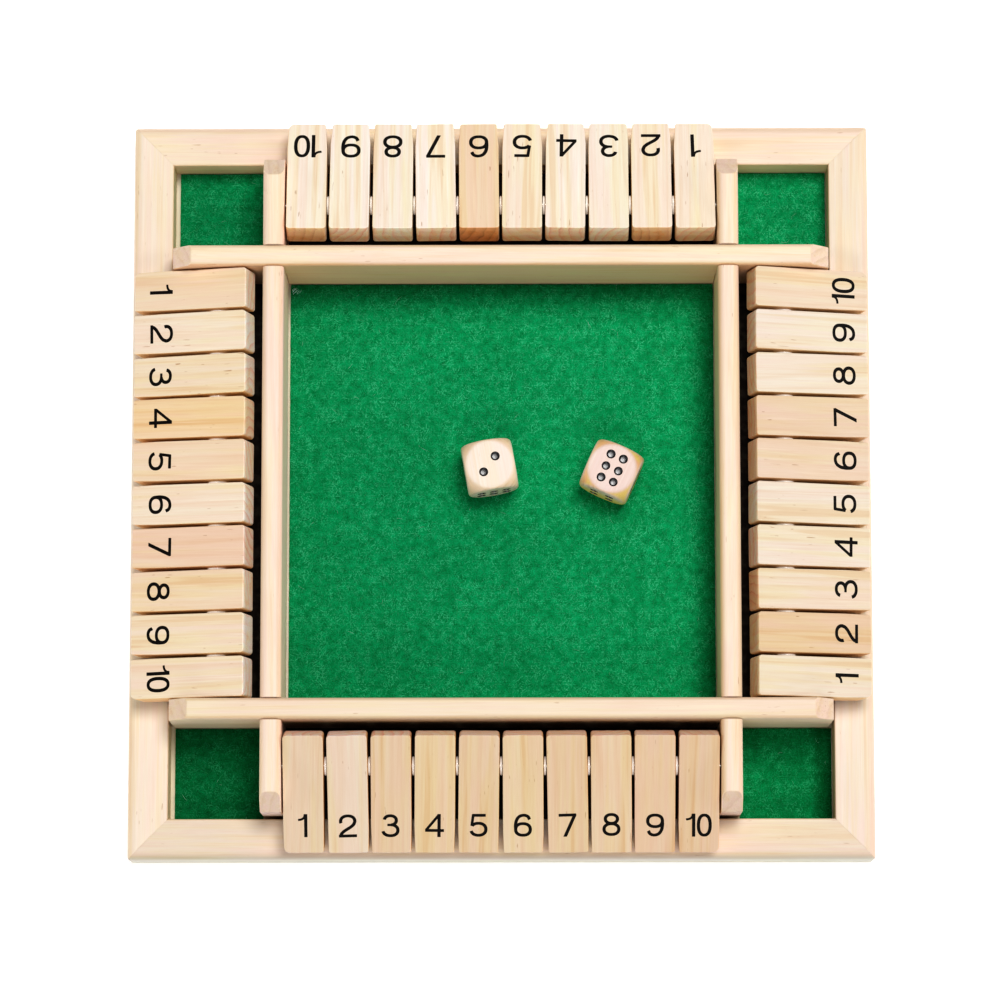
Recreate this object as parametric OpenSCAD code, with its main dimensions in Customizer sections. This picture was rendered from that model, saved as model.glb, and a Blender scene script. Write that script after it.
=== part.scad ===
// Four-player shut the box board: a square tray of four mitred rails on a
// base panel, split by four half-lapped dividers into a dice field, four
// corner pockets and four tile troughs. Ten numbered tiles swing on a steel
// rod in each trough. Origin: centre of the underside, +Z up, front at -Y.

/* [Board] */
// Outer width and depth of the square frame
board_w = 232; // [231:0.5:234]
// Width of a frame rail
rail_w = 12.6; // [12.3:0.1:12.7]
// Height of a frame rail
rail_h = 15; // [14:0.5:15]
// Radius along a rail's outer top edge
rail_round = 3.2; // [2:0.2:3.6]
// Radius of the frame's four upright corners
corner_round = 2.5; // [1:0.5:4]
// Thickness of the base panel let into the rails
base_t = 3; // [2.5:0.5:3.5]
// Thickness of the felt
felt_t = 1; // [0.8:0.1:1.2]
// Bare strip left between the pocket felt and the left rail
felt_short = 1.1; // [0.3:0.1:1.6]

/* [Dividers] */
// Clear width of the square dice field
field_w = 135; // [135:0.1:135.4]
// Thickness of a divider
div_t = 6.6; // [6.4:0.1:6.7]
// Height of the divider tops over the table
div_top = 34; // [33.5:0.1:34.2]
// Top edge radius of the front and back dividers
div_round_long = 1.4; // [1:0.1:1.6]
// Top edge radius of the left and right dividers
div_round_cross = 2.2; // [1.8:0.1:2.6]
// Size of the bevel on each divider end
div_bevel = 6; // [4:0.5:6.5]
// Gap between a divider end and the rail
div_gap = 1; // [0.6:0.1:1.4]

/* [Tiles] */
// Length of a tile
tile_l = 36.6; // [36.4:0.1:36.9]
// Width of a tile
tile_w = 12.4; // [12.2:0.1:12.45]
// Thickness of a tile
tile_t = 10; // [9.7:0.1:10.1]
// Distance between neighbouring tile centres
tile_pitch = 13.5; // [13.45:0.01:13.5]
// Distance from a tile's outer end to its rod
tile_arm = 26.2; // [26:0.1:26.4]
// Slope of a tile that rests on its rail, inner end up
tile_tilt = 15; // [14.7:0.1:15.4]
// Edge radius of a tile
tile_edge = 0.9; // [0.5:0.1:1.2]
// Corner radius of a tile's outer end
tile_nose = 1.8; // [1.8:0.1:2.4]

/* [Rods] */
// Distance from the board centre to each rod
rod_r = 88; // [87.9:0.1:88.3]
// Diameter of the steel rods
rod_d = 1.2; // [1:0.1:1.6]
// Radial running clearance of a tile on its rod
rod_play = 0.08; // [0.04:0.01:0.1]
// Depth of the blind holes that hold the rod ends
rod_bite = 4.5; // [3:0.5:5]
// Outer diameter of the spacers between tiles
spacer_d = 5.6; // [4:0.2:6]
// Thickness of a spacer
spacer_t = 0.94; // [0.8:0.01:0.96]

/* [Dice] */
// Edge length of a die
die_w = 16; // [15.5:0.1:16.5]
// Diameter of the ball that rounds off a die's edges and corners
die_ball = 21.2; // [19.4:0.1:22]
// Diameter of a pip at the surface
pip_d = 2.8; // [2:0.1:3]
// Depth of a pip
pip_h = 1; // [0.6:0.1:1.2]

/* [Hidden] */
$fn = 48;

// Turn about Z that carries the front side to each side.
FRONT = 0; RIGHT = 90; BACK = 180; LEFT = -90;

half = board_w / 2;
inner = half - rail_w;            // inner face of the rails
rebate = rail_w / 2;              // ledge that holds the base panel
div_in = field_w / 2;             // inner faces of the dividers
div_out = div_in + div_t;
div_mid = div_in + div_t / 2;
div_len = 2 * (inner - div_gap);
lap_z = (base_t + div_top) / 2;   // height of the half-lap seat
felt_z = base_t + felt_t;
arm_in = tile_l - tile_arm;
rest_gap = 0.05;                  // air between a resting tile and its rail
rod_air = 0.3;                    // air between a rod end and its hole's floor
// Rod height that brings the tile's rounded outer toe onto the rail.
rod_z = rail_h + rest_gap + (tile_arm - tile_edge) * sin(tile_tilt)
    + (tile_t / 2 - tile_edge) * cos(tile_tilt) + tile_edge;

// Rectangle centred on the origin with rounded corners.
module rrect(w, h, r) {
    square([w - 2 * r, h], center = true);
    square([w, h - 2 * r], center = true);
    for (x = [-1, 1], y = [-1, 1])
        translate([x * (w / 2 - r), y * (h / 2 - r)]) circle(r);
}

// ---- frame -----------------------------------------------------------

// Rail section: x runs outwards from the inner face, y is height.
module rail_section() {
    difference() {
        union() {
            square([rail_w, rail_h - rail_round]);
            square([rail_w - rail_round, rail_h]);
            translate([rail_w - rail_round, rail_h - rail_round]) circle(rail_round);
        }
        translate([-1, -1]) square([1 + rebate, 1 + base_t]);
    }
}

// One mitred rail on the front side.
module rail() {
    color("wheat")
    intersection() {
        translate([-half - 1, -inner, 0]) rotate([90, 0, 90])
            linear_extrude(board_w + 2) mirror([1, 0]) rail_section();
        translate([0, 0, -1]) linear_extrude(rail_h + 2)
            polygon([[0, 0], [-half - 2, -half - 2], [half + 2, -half - 2]]);
        translate([0, 0, -1]) linear_extrude(rail_h + 2)
            rrect(board_w, board_w, corner_round);
    }
}

module front_rail() { rotate(FRONT) rail(); }
module back_rail() { rotate(BACK) rail(); }
module left_rail() { rotate(LEFT) rail(); }
module right_rail() { rotate(RIGHT) rail(); }

module base_panel() {
    w = 2 * (inner + rebate);
    color("tan") translate([-w / 2, -w / 2, 0]) cube([w, w, base_t]);
}

module field_felt() {
    w = field_w - 0.4;
    color("seagreen") translate([-w / 2, -w / 2, base_t]) cube([w, w, felt_t]);
}

// Four small squares; the two on the left stop short of the rail.
module pocket_felts() {
    lo = div_out + 0.2;
    hi = inner - 0.2;
    color("seagreen") for (s = [-1, 1]) {
        y0 = s > 0 ? lo : -hi;
        translate([lo, y0, base_t]) cube([hi - lo, hi - lo, felt_t]);
        translate([-hi + felt_short, y0, base_t])
            cube([hi - lo - felt_short, hi - lo, felt_t]);
    }
}

// ---- dividers --------------------------------------------------------

// Divider blank along X with rounded top edges and bevelled ends.
module divider_blank(r) {
    h = div_top - base_t;
    e = div_len / 2;
    intersection() {
        translate([-e, 0, base_t]) rotate([90, 0, 90]) linear_extrude(div_len) {
            translate([-div_t / 2, 0]) square([div_t, h - r]);
            translate([-div_t / 2 + r, 0]) square([div_t - 2 * r, h]);
            for (s = [-1, 1]) translate([s * (div_t / 2 - r), h - r]) circle(r);
        }
        translate([0, div_t, base_t]) rotate([90, 0, 0]) linear_extrude(2 * div_t)
            polygon([[-e, -1], [e, -1], [e, h - div_bevel], [e - div_bevel, h],
                     [-e + div_bevel, h], [-e, h - div_bevel]]);
    }
}

// Blind holes for the two rods that end in this divider. They open towards
// +Y or -Y, on the side of the dice field.
module rod_holes(side) {
    for (x = [-rod_r, rod_r])
        translate([x, side * (div_t / 2 - rod_bite), rod_z])
            rotate([-90 * side, 0, 0]) cylinder(h = rod_bite + 1, d = rod_d);
}

// Runs left to right on top of the crossings; its laps open downwards.
module long_divider(s) {
    color("blanchedalmond") translate([0, s * div_mid, 0]) difference() {
        divider_blank(div_round_long);
        for (x = [-1, 1]) translate([x * div_mid, 0, lap_z - 20])
            cube([div_t + 0.1, div_t + 2, 40], center = true);
        rod_holes(-s);
    }
}

// Runs front to back under the crossings; its laps open upwards.
module cross_divider(s) {
    color("antiquewhite") rotate(90) translate([0, -s * div_mid, 0]) difference() {
        divider_blank(div_round_cross);
        for (x = [-1, 1]) translate([x * div_mid, 0, lap_z + 20])
            cube([div_t + 0.1, div_t + 2, 40], center = true);
        rod_holes(s);
    }
}

module front_divider() { long_divider(-1); }
module back_divider() { long_divider(1); }
module left_divider() { cross_divider(-1); }
module right_divider() { cross_divider(1); }

// ---- rods and spacers -------------------------------------------------

module rod() {
    color("silver") translate([0, -rod_r, rod_z]) rotate([0, 90, 0])
        cylinder(h = 2 * (div_in + rod_bite - rod_air), d = rod_d, center = true);
}

module front_rod() { rotate(FRONT) rod(); }
module back_rod() { rotate(BACK) rod(); }
module left_rod() { rotate(LEFT) rod(); }
module right_rod() { rotate(RIGHT) rod(); }

// One spacer in each of the nine gaps of a row, four rows.
module tile_spacers() {
    color("white") for (a = [FRONT, RIGHT, BACK, LEFT], i = [1 : 9])
        rotate(a) translate([(i - 5) * tile_pitch, -rod_r, rod_z])
            rotate([0, 90, 0]) difference() {
                cylinder(h = spacer_t, d = spacer_d, center = true);
                cylinder(h = 2, d = rod_d, center = true);
            }
}

// ---- tiles -------------------------------------------------------------

// Outline seen from above: outer end at -Y with larger corners.
module tile_plan() {
    n = tile_nose;
    e = tile_edge;
    translate([-tile_w / 2, -tile_arm + n]) square([tile_w, tile_l - n - e]);
    translate([-tile_w / 2 + n, -tile_arm]) square([tile_w - 2 * n, n + 1]);
    translate([-tile_w / 2 + e, arm_in - e - 1]) square([tile_w - 2 * e, e + 1]);
    for (s = [-1, 1]) {
        translate([s * (tile_w / 2 - n), -tile_arm + n]) circle(n);
        translate([s * (tile_w / 2 - e), arm_in - e]) circle(e);
    }
}

// A tile about its rod: bore along X, outer end at -Y, face up.
module tile_body() {
    difference() {
        intersection() {
            translate([0, 0, -tile_t]) linear_extrude(2 * tile_t) tile_plan();
            translate([0, arm_in + 1, 0]) rotate([90, 0, 0])
                linear_extrude(tile_l + 2) rrect(tile_w, tile_t, tile_edge);
            translate([-tile_w, arm_in - tile_l / 2, 0]) rotate([90, 0, 90])
                linear_extrude(2 * tile_w) rrect(tile_l, tile_t, tile_edge);
        }
        rotate([0, 90, 0])
            cylinder(h = tile_w + 2, d = rod_d + 2 * rod_play, center = true);
    }
}

// Tile n of the row on one side, at rest with its outer end on the rail.
module tile(side, n) {
    rotate(side) translate([(n - 5.5) * tile_pitch, -rod_r, rod_z])
        rotate([tile_tilt, 0, 0]) tile_body();
}

module front_tile(n) { color("bisque") tile(FRONT, n); }
module back_tile(n) { color("bisque") tile(BACK, n); }
module left_tile(n) { color("bisque") tile(LEFT, n); }
module right_tile(n) { color("bisque") tile(RIGHT, n); }

// ---- dice ---------------------------------------------------------------

// Pip places of each value on a face, in millimetres from its centre.
function pips(n) =
    n == 1 ? [[0, 0]] :
    n == 2 ? [[-2.2, -2.2], [2.2, 2.2]] :
    n == 3 ? [[-3.2, -3.2], [0, 0], [3.2, 3.2]] :
    n == 4 ? [[-2.6, -2.6], [2.6, -2.6], [-2.6, 2.6], [2.6, 2.6]] :
    n == 5 ? [[-3.2, -3.2], [3.2, -3.2], [0, 0], [-3.2, 3.2], [3.2, 3.2]] :
             [for (x = [-2.1, 2.1], y = [-3.95, 0, 3.95]) [x, y]];

// Ball that cuts a dimple of the pip's width and depth.
pip_r = (pip_d * pip_d / 4 + pip_h * pip_h) / (2 * pip_h);

module face_pips(n) {
    for (p = pips(n)) translate([p[0], p[1], die_w / 2 + pip_r - pip_h]) sphere(pip_r);
}

// Die about its centre: a cube turned down by a ball, so that each face keeps
// a round flat. Face values are given for each side.
module die(top, bottom, front, back, left, right) {
    difference() {
        intersection() {
            cube(die_w, center = true);
            sphere(d = die_ball);
        }
        face_pips(top);
        rotate([180, 0, 0]) face_pips(bottom);
        rotate([90, 0, 0]) rotate(90) face_pips(front);
        rotate([-90, 0, 0]) face_pips(back);
        rotate([0, -90, 0]) face_pips(left);
        rotate([0, 90, 0]) face_pips(right);
    }
}

die_z = felt_z + 0.02 + die_w / 2;

module left_die() {
    color("moccasin") translate([-3.6, 7, die_z]) rotate(10)
        die(2, 5, 6, 1, 4, 3);
}

module right_die() {
    color("moccasin") translate([34.7, 5.6, die_z]) rotate(-24)
        die(6, 1, 4, 3, 2, 5);
}

front_rail();
back_rail();
left_rail();
right_rail();
base_panel();
field_felt();
pocket_felts();
front_divider();
back_divider();
left_divider();
right_divider();
front_rod();
back_rod();
left_rod();
right_rod();
tile_spacers();
front_tile(1);  // front_tile_1
front_tile(2);  // front_tile_2
front_tile(3);  // front_tile_3
front_tile(4);  // front_tile_4
front_tile(5);  // front_tile_5
front_tile(6);  // front_tile_6
front_tile(7);  // front_tile_7
front_tile(8);  // front_tile_8
front_tile(9);  // front_tile_9
front_tile(10);  // front_tile_10
back_tile(1);  // back_tile_1
back_tile(2);  // back_tile_2
back_tile(3);  // back_tile_3
back_tile(4);  // back_tile_4
back_tile(5);  // back_tile_5
back_tile(6);  // back_tile_6
back_tile(7);  // back_tile_7
back_tile(8);  // back_tile_8
back_tile(9);  // back_tile_9
back_tile(10);  // back_tile_10
left_tile(1);  // left_tile_1
left_tile(2);  // left_tile_2
left_tile(3);  // left_tile_3
left_tile(4);  // left_tile_4
left_tile(5);  // left_tile_5
left_tile(6);  // left_tile_6
left_tile(7);  // left_tile_7
left_tile(8);  // left_tile_8
left_tile(9);  // left_tile_9
left_tile(10);  // left_tile_10
right_tile(1);  // right_tile_1
right_tile(2);  // right_tile_2
right_tile(3);  // right_tile_3
right_tile(4);  // right_tile_4
right_tile(5);  // right_tile_5
right_tile(6);  // right_tile_6
right_tile(7);  // right_tile_7
right_tile(8);  // right_tile_8
right_tile(9);  // right_tile_9
right_tile(10);  // right_tile_10
left_die();
right_die();
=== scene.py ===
import math
import random

import bmesh
import bpy
import numpy as np
from mathutils import Matrix, Vector, noise
from mathutils.geometry import tessellate_polygon


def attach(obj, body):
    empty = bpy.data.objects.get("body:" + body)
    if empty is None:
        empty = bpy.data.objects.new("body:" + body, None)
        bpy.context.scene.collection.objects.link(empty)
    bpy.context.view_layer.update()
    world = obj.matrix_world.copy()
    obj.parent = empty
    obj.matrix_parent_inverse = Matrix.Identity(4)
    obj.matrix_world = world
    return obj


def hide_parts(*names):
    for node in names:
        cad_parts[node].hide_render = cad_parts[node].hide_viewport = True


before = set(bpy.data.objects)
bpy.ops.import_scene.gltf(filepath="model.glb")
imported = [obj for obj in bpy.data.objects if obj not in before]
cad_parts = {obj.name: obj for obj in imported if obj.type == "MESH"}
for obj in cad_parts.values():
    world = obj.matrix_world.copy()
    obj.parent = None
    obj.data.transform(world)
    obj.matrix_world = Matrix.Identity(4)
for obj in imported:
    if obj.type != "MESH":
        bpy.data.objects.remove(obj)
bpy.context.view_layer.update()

MM = 0.001
scene = bpy.context.scene

# ---------------------------------------------------------------- sizes (mm)
HALF, RAIL_W, RAIL_H = 116.0, 12.6, 15.0
INNER = HALF - RAIL_W
DIV_T, DIV_IN, DIV_TOP, BASE_T = 6.6, 67.5, 34.0, 3.0
DIV_MID, DIV_OUT = DIV_IN + DIV_T / 2, DIV_IN + DIV_T
LAP_Z = (BASE_T + DIV_TOP) / 2
ROD_R, ROD_D = 88.0, 1.2
TILE_L, TILE_W, TILE_T, ARM, TILT, PITCH = 36.6, 12.4, 10.0, 26.2, 15.0, 13.5
TILT_R = math.radians(TILT)
ROD_Z = (RAIL_H + 0.05 + (ARM - 0.9) * math.sin(TILT_R)
         + (TILE_T / 2 - 0.9) * math.cos(TILT_R) + 0.9)
SIDES = {"front": 0, "right": 90, "back": 180, "left": -90}


# ---------------------------------------------------------------- node trees
class Tree:
    """A material and short ways to add nodes to it. Arguments are sockets or plain values."""

    def __init__(self, name):
        self.mat = bpy.data.materials.new(name)
        self.mat.use_nodes = True
        self.nt = self.mat.node_tree
        self.nt.nodes.clear()

    def add(self, kind, inputs=(), out=0, **props):
        node = self.nt.nodes.new(kind)
        for k, v in props.items():
            setattr(node, k, v)
        for k, v in dict(inputs).items():
            if isinstance(v, bpy.types.NodeSocket):
                self.nt.links.new(v, node.inputs[k])
            elif v is not None:
                node.inputs[k].default_value = v
        return node.outputs[out]

    def math(self, op, a, b=None, c=None, clamp=False):
        return self.add("ShaderNodeMath", {0: a, 1: b, 2: c}, operation=op, use_clamp=clamp)

    def vmath(self, op, a, b=None, out=0):
        return self.add("ShaderNodeVectorMath", {0: a, 1: b}, out, operation=op)

    def scale3(self, vec, s):
        return self.vmath("MULTIPLY", vec, tuple(s) if hasattr(s, "__len__") else (s, s, s))

    def noise(self, vec, s=1.0, detail=2.0, rough=0.5, warp=0.0, out="Fac"):
        return self.add("ShaderNodeTexNoise",
                        {"Vector": self.scale3(vec, s), "Scale": 1.0, "Detail": detail,
                         "Roughness": rough, "Distortion": warp}, out)

    def remap(self, v, a, b, lo=0.0, hi=1.0, smooth=True):
        return self.add("ShaderNodeMapRange",
                        {"Value": v, "From Min": a, "From Max": b, "To Min": lo, "To Max": hi},
                        interpolation_type="SMOOTHSTEP" if smooth else "LINEAR")

    def ramp(self, fac, stops, mode="LINEAR"):
        node = self.nt.nodes.new("ShaderNodeValToRGB")
        node.color_ramp.interpolation = mode
        e = node.color_ramp.elements
        while len(e) < len(stops):
            e.new(0.5)
        for el, (p, c) in zip(e, stops):
            el.position = p
            el.color = (c, c, c, 1) if not hasattr(c, "__len__") else (*c, 1)
        self.nt.links.new(fac, node.inputs[0])
        return node.outputs[0]

    def mix(self, fac, a, b, blend="MIX"):
        node = self.nt.nodes.new("ShaderNodeMix")
        node.data_type, node.blend_type = "RGBA", blend
        for i, v in ((0, fac), (6, a), (7, b)):
            if isinstance(v, bpy.types.NodeSocket):
                self.nt.links.new(v, node.inputs[i])
            else:
                node.inputs[i].default_value = (*v, 1) if hasattr(v, "__len__") and len(v) == 3 else v
        return node.outputs[2]

    def attr(self, name, out="Fac"):
        return self.add("ShaderNodeAttribute", (), out, attribute_name=name)

    def shade(self, colour, rough, height=None, strength=0.5, distance=0.00005, **fixed):
        """Principled surface with a bump, and every constant set on its own socket."""
        b = self.nt.nodes.new("ShaderNodeBsdfPrincipled")
        for k, v in (("Base Color", colour), ("Roughness", rough)):
            if isinstance(v, bpy.types.NodeSocket):
                self.nt.links.new(v, b.inputs[k])
            else:
                b.inputs[k].default_value = (*v, 1) if hasattr(v, "__len__") else v
        for k, v in fixed.items():
            b.inputs[k.replace("_", " ")].default_value = v
        if height is not None:
            self.nt.links.new(self.add("ShaderNodeBump", {"Strength": strength, "Distance": distance,
                                                          "Height": height}), b.inputs["Normal"])
        out = self.nt.nodes.new("ShaderNodeOutputMaterial")
        self.nt.links.new(b.outputs[0], out.inputs[0])
        return self.mat


def wood(name, cream, late, pink, yellow, ring=0.35, spacing=2.6, streak=0.5, edge=(0.93, 0.86, 0.77),
         fleck=0.6, rough=0.5, own_grain=True, bump=0.00004, band=0.5, end_ring=0.45,
         dark=(0.42, 0.24, 0.13), stain_and_shade=None, paints_flank_light=False, broad_strips=False, sheen=0.3):
    """Softwood cut from a log: rings about a distant pith, long fibres, resin dashes, end grain.
    The grain attribute is in millimetres with y along the fibres."""
    t = Tree(name)
    if own_grain:
        g = t.attr("grain", "Vector")
        tone, endg, rim, end = (t.attr("tone", "Color"), t.attr("endgrain"), t.attr("rim"),
                                t.attr("endtone", "Color"))
    else:
        g = t.scale3(t.add("ShaderNodeTexCoord", (), "Object"), 1000.0)
        tone, endg, rim = None, 0.0, 0.0
    drift = t.scale3(t.vmath("SUBTRACT", t.noise(g, (0.05, 0.007, 0.05), 2, out="Color"),
                             (0.5, 0.5, 0.5)), (7.0, 0.0, 7.0))
    xyz = t.add("ShaderNodeSeparateXYZ", {0: t.vmath("ADD", g, drift)}).node
    r = t.math("SQRT", t.math("ADD", t.math("MULTIPLY", xyz.outputs[0], xyz.outputs[0]),
                              t.math("MULTIPLY", xyz.outputs[2], xyz.outputs[2])))
    wobble = t.math("MULTIPLY", t.noise(g, (0.35, 0.012, 0.35), 2), 0.55)
    f = t.math("FRACT", t.math("ADD", t.math("DIVIDE", r, spacing), wobble))
    rings = t.ramp(f, [(0.0, 0.5), (0.06, 0.05), (0.45, 0.1), (0.78, 0.55), (0.93, 1.0), (1.0, 0.5)])
    # Each piece shows its rings strongly in some places and hardly in others.
    show = t.remap(t.noise(g, (0.11, 0.018, 0.11), 2), 0.3, 0.7, 0.25, 1.0)
    show = t.math("MULTIPLY", show, ring)
    if own_grain:
        # Some pieces show clear arcs on the end, others almost none.
        clear = t.remap(t.noise(t.vmath("ADD", g, (11.0, 3.0, 7.0)), (0.03, 0.013, 0.03), 1), 0.40, 0.60, 0.1, 1.0)
        show = t.math("MULTIPLY_ADD", t.math("MULTIPLY", endg, clear), end_ring, show)
    fibre = t.noise(g, (1.7, 0.03, 1.7), 3, 0.6)
    fine = t.noise(g, (6.5, 0.11, 6.5), 2, 0.6)
    patch = t.noise(g, (0.09, 0.022, 0.09), 2)
    patch2 = t.noise(t.vmath("ADD", g, (31.0, 77.0, 13.0)), (0.12, 0.03, 0.12), 2)
    c = t.mix(t.remap(patch, 0.38, 0.66), cream, pink)
    c = t.mix(t.remap(patch2, 0.42, 0.7), c, yellow)
    # Narrow bands along the grain, some pinkish, some straw, a few tan.
    strip = t.noise(t.vmath("ADD", g, (3.0, 50.0, 17.0)), (0.30, 0.010, 0.30) if broad_strips else (0.52, 0.011, 0.52),
                    2 if broad_strips else 3, 0.55 if broad_strips else 0.62)
    c = t.mix(t.remap(strip, 0.50, 0.57, 0.0, band), c, tuple(v * k for v, k in zip(yellow, (0.985, 0.95, 0.84))))
    c = t.mix(t.remap(strip, 0.47, 0.40, 0.0, band), c, tuple(v * k for v, k in zip(pink, (1.0, 0.98, 1.0))))
    c = t.mix(t.remap(strip, 0.60, 0.66, 0.0, band), c, tuple(v * k for v, k in zip(late, (1.03, 1.06, 1.05))))
    if own_grain:
        late_c = t.mix(endg, late, dark)
        c = t.mix(t.math("MULTIPLY", rings, show), c, late_c)
    else:
        c = t.mix(t.math("MULTIPLY", rings, show), c, late)
    c = t.mix(t.math("MULTIPLY", t.remap(fibre, 0.44, 0.72), streak), c, late)
    c = t.mix(t.remap(fine, 0.35, 0.7, 0.0, 0.09 + 0.1 * streak), c, (late[0] * .93, late[1] * .88, late[2] * .85))
    c = t.mix(t.remap(t.noise(t.vmath("ADD", g, (9.0, 5.0, 3.0)), (1.3, 0.025, 1.3), 2), 0.55, 0.8, 0.0, 0.5), c,
              tuple(min(1.0, v * 1.08) for v in cream))
    dash = t.math("MULTIPLY", t.remap(t.noise(g, (1.9, 0.23, 1.9), 1.0, 0.4), 0.725, 0.78),
                  t.remap(t.noise(g, (0.13, 0.05, 0.13), 1), 0.45, 0.6))
    c = t.mix(t.math("MULTIPLY", dash, fleck), c, (late[0] * 0.62, late[1] * 0.48, late[2] * 0.38))
    # Stains, and the panel's painted trough shade, laid over the grain colour.
    if stain_and_shade:
        c = stain_and_shade(t, g, c)
    if callable(edge):
        edge = edge(t, g)
    pores = t.noise(g, (9.0, 0.5, 9.0), 2, 0.6)
    if own_grain:
        grey = t.vmath("MINIMUM", t.mix(1.0, c, end, "MULTIPLY"), (0.96, 0.94, 0.92))
        grey = t.mix(t.remap(pores, 0.42, 0.7, 0.0, 0.28), grey, dark)
        c = t.mix(endg, c, grey)
        # Painted light and shade on one flank, from the flank_light_tint attribute.
        if paints_flank_light:
            c = t.mix(t.attr("flank"), c, t.mix(1.0, c, t.attr("flank_light_tint", "Color"), "MULTIPLY"))
        c = t.mix(t.math("MULTIPLY", rim, 0.75), c, t.mix(1.0, c, edge, "MULTIPLY"))
        c = t.mix(1.0, c, tone, "MULTIPLY")
    ro = t.remap(fibre, 0.3, 0.75, rough - 0.06, rough + 0.1)
    if own_grain:
        ro = t.math("MULTIPLY_ADD", rim, -0.06, ro)
        ro = t.math("MULTIPLY_ADD", endg, 0.12, ro)
    h = t.math("ADD", t.math("MULTIPLY", fine, 0.6), t.math("MULTIPLY", rings, 0.35))
    h = t.math("SUBTRACT", h, t.math("MULTIPLY", dash, 0.8))
    h = t.math("ADD", h, t.math("MULTIPLY", pores, 0.35))
    return t.shade(c, ro, h, 0.6, bump, IOR=1.45, Specular_IOR_Level=sheen)


CREAM, LATE = (0.858, 0.742, 0.622), (0.790, 0.580, 0.395)
PINK, YELLOW = (0.870, 0.708, 0.600), (0.868, 0.760, 0.590)
rail_wood = wood("rail_pine", CREAM, LATE, PINK, YELLOW, ring=0.24, spacing=3.4, streak=0.2, fleck=0.5, band=0.42,
                 end_ring=0.2, paints_flank_light=True)
divider_wood = wood("divider_pine", (0.868, 0.755, 0.632), LATE, (0.875, 0.725, 0.625), (0.872, 0.775, 0.612),
                    ring=0.28, spacing=2.9, streak=0.22, fleck=0.5, band=0.45, end_ring=0.12, paints_flank_light=True)
# The tiles' rounded edges are lightened: a painted highlight along the arrises.
tile_wood = wood("tile_pine", (0.858, 0.745, 0.622), (0.740, 0.500, 0.305), (0.862, 0.702, 0.585),
                 (0.855, 0.740, 0.555), ring=0.40, spacing=3.0, streak=0.18, fleck=0.7,
                 edge=(1.04, 1.07, 1.12), band=0.48, end_ring=0.36,
                 dark=(0.43, 0.32, 0.21), paints_flank_light=True, broad_strips=True)
# The pale die's rounded edges are tinted tan and lightened in red: partly real wear, partly painted light against their
# shading.
die_wood_a = wood("die_beech_pale", (0.855, 0.768, 0.690), (0.78, 0.61, 0.455), (0.865, 0.750, 0.680),
                  (0.855, 0.758, 0.645), ring=0.18, spacing=1.7, streak=0.2, fleck=0.25, edge=(1.15, 0.965, 0.77),
                  rough=0.46, band=0.25, sheen=0.22)


def rim_light_and_stains(t, g):
    """A rim lightened as painted light against its shading, whose outermost edges are stained orange, and yellow here
    and there.
    """
    hue = t.mix(t.remap(t.noise(t.vmath("ADD", g, (2.0, 8.0, 5.0)), 0.11, 1), 0.50, 0.60), (1.22, 0.82, 0.38),
                (1.20, 1.06, 0.24))
    return t.mix(t.remap(t.attr("rim"), 0.38, 0.85), (1.12, 0.95, 0.78), hue)


def yellow_foot(t, g, c):
    """The yellow staining has run down the sides, which are yellow towards the foot."""
    low = t.vmath("DOT_PRODUCT", t.add("ShaderNodeTexCoord", (), "Object"), (0.0, 0.0, 1000.0), 1)
    return t.mix(t.remap(low, 18.0, 9.0, 0.0, 0.9), c, t.mix(1.0, c, (1.18, 1.04, 0.34), "MULTIPLY"))


die_wood_b = wood("die_beech_stained", (0.825, 0.695, 0.640), (0.76, 0.55, 0.42), (0.830, 0.670, 0.625),
                  (0.825, 0.695, 0.605), ring=0.18, spacing=1.7, streak=0.2, fleck=0.3, edge=rim_light_and_stains,
                  rough=0.46, band=0.25, stain_and_shade=yellow_foot, sheen=0.22)


def painted_trough_shade(t, g, c):
    """Painted shade: the strips of the panel that lie under the rows of tiles are darkened almost to black on top."""
    p = t.add("ShaderNodeSeparateXYZ", {0: t.vmath("ABSOLUTE", g)}).node
    x, y, z = p.outputs
    one = t.math("MULTIPLY", t.remap(x, 70.2, 71.4), t.remap(y, 71.4, 70.2))
    two = t.math("MULTIPLY", t.remap(y, 70.2, 71.4), t.remap(x, 71.4, 70.2))
    m = t.math("MULTIPLY", t.math("MAXIMUM", one, two), t.math("GREATER_THAN", z, 2.9))
    return t.mix(t.math("MULTIPLY", m, t.remap(t.noise(g, 0.3, 2), 0.3, 0.6, 0.92, 0.99)), c, (0.030, 0.017, 0.010))


panel_wood = wood("panel_birch", (0.76, 0.71, 0.60), (0.64, 0.54, 0.40), (0.75, 0.68, 0.58), (0.76, 0.71, 0.56),
                  ring=0.3, spacing=9.0, streak=0.4, own_grain=False, rough=0.62, band=0.3,
                  stain_and_shade=painted_trough_shade)


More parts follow.
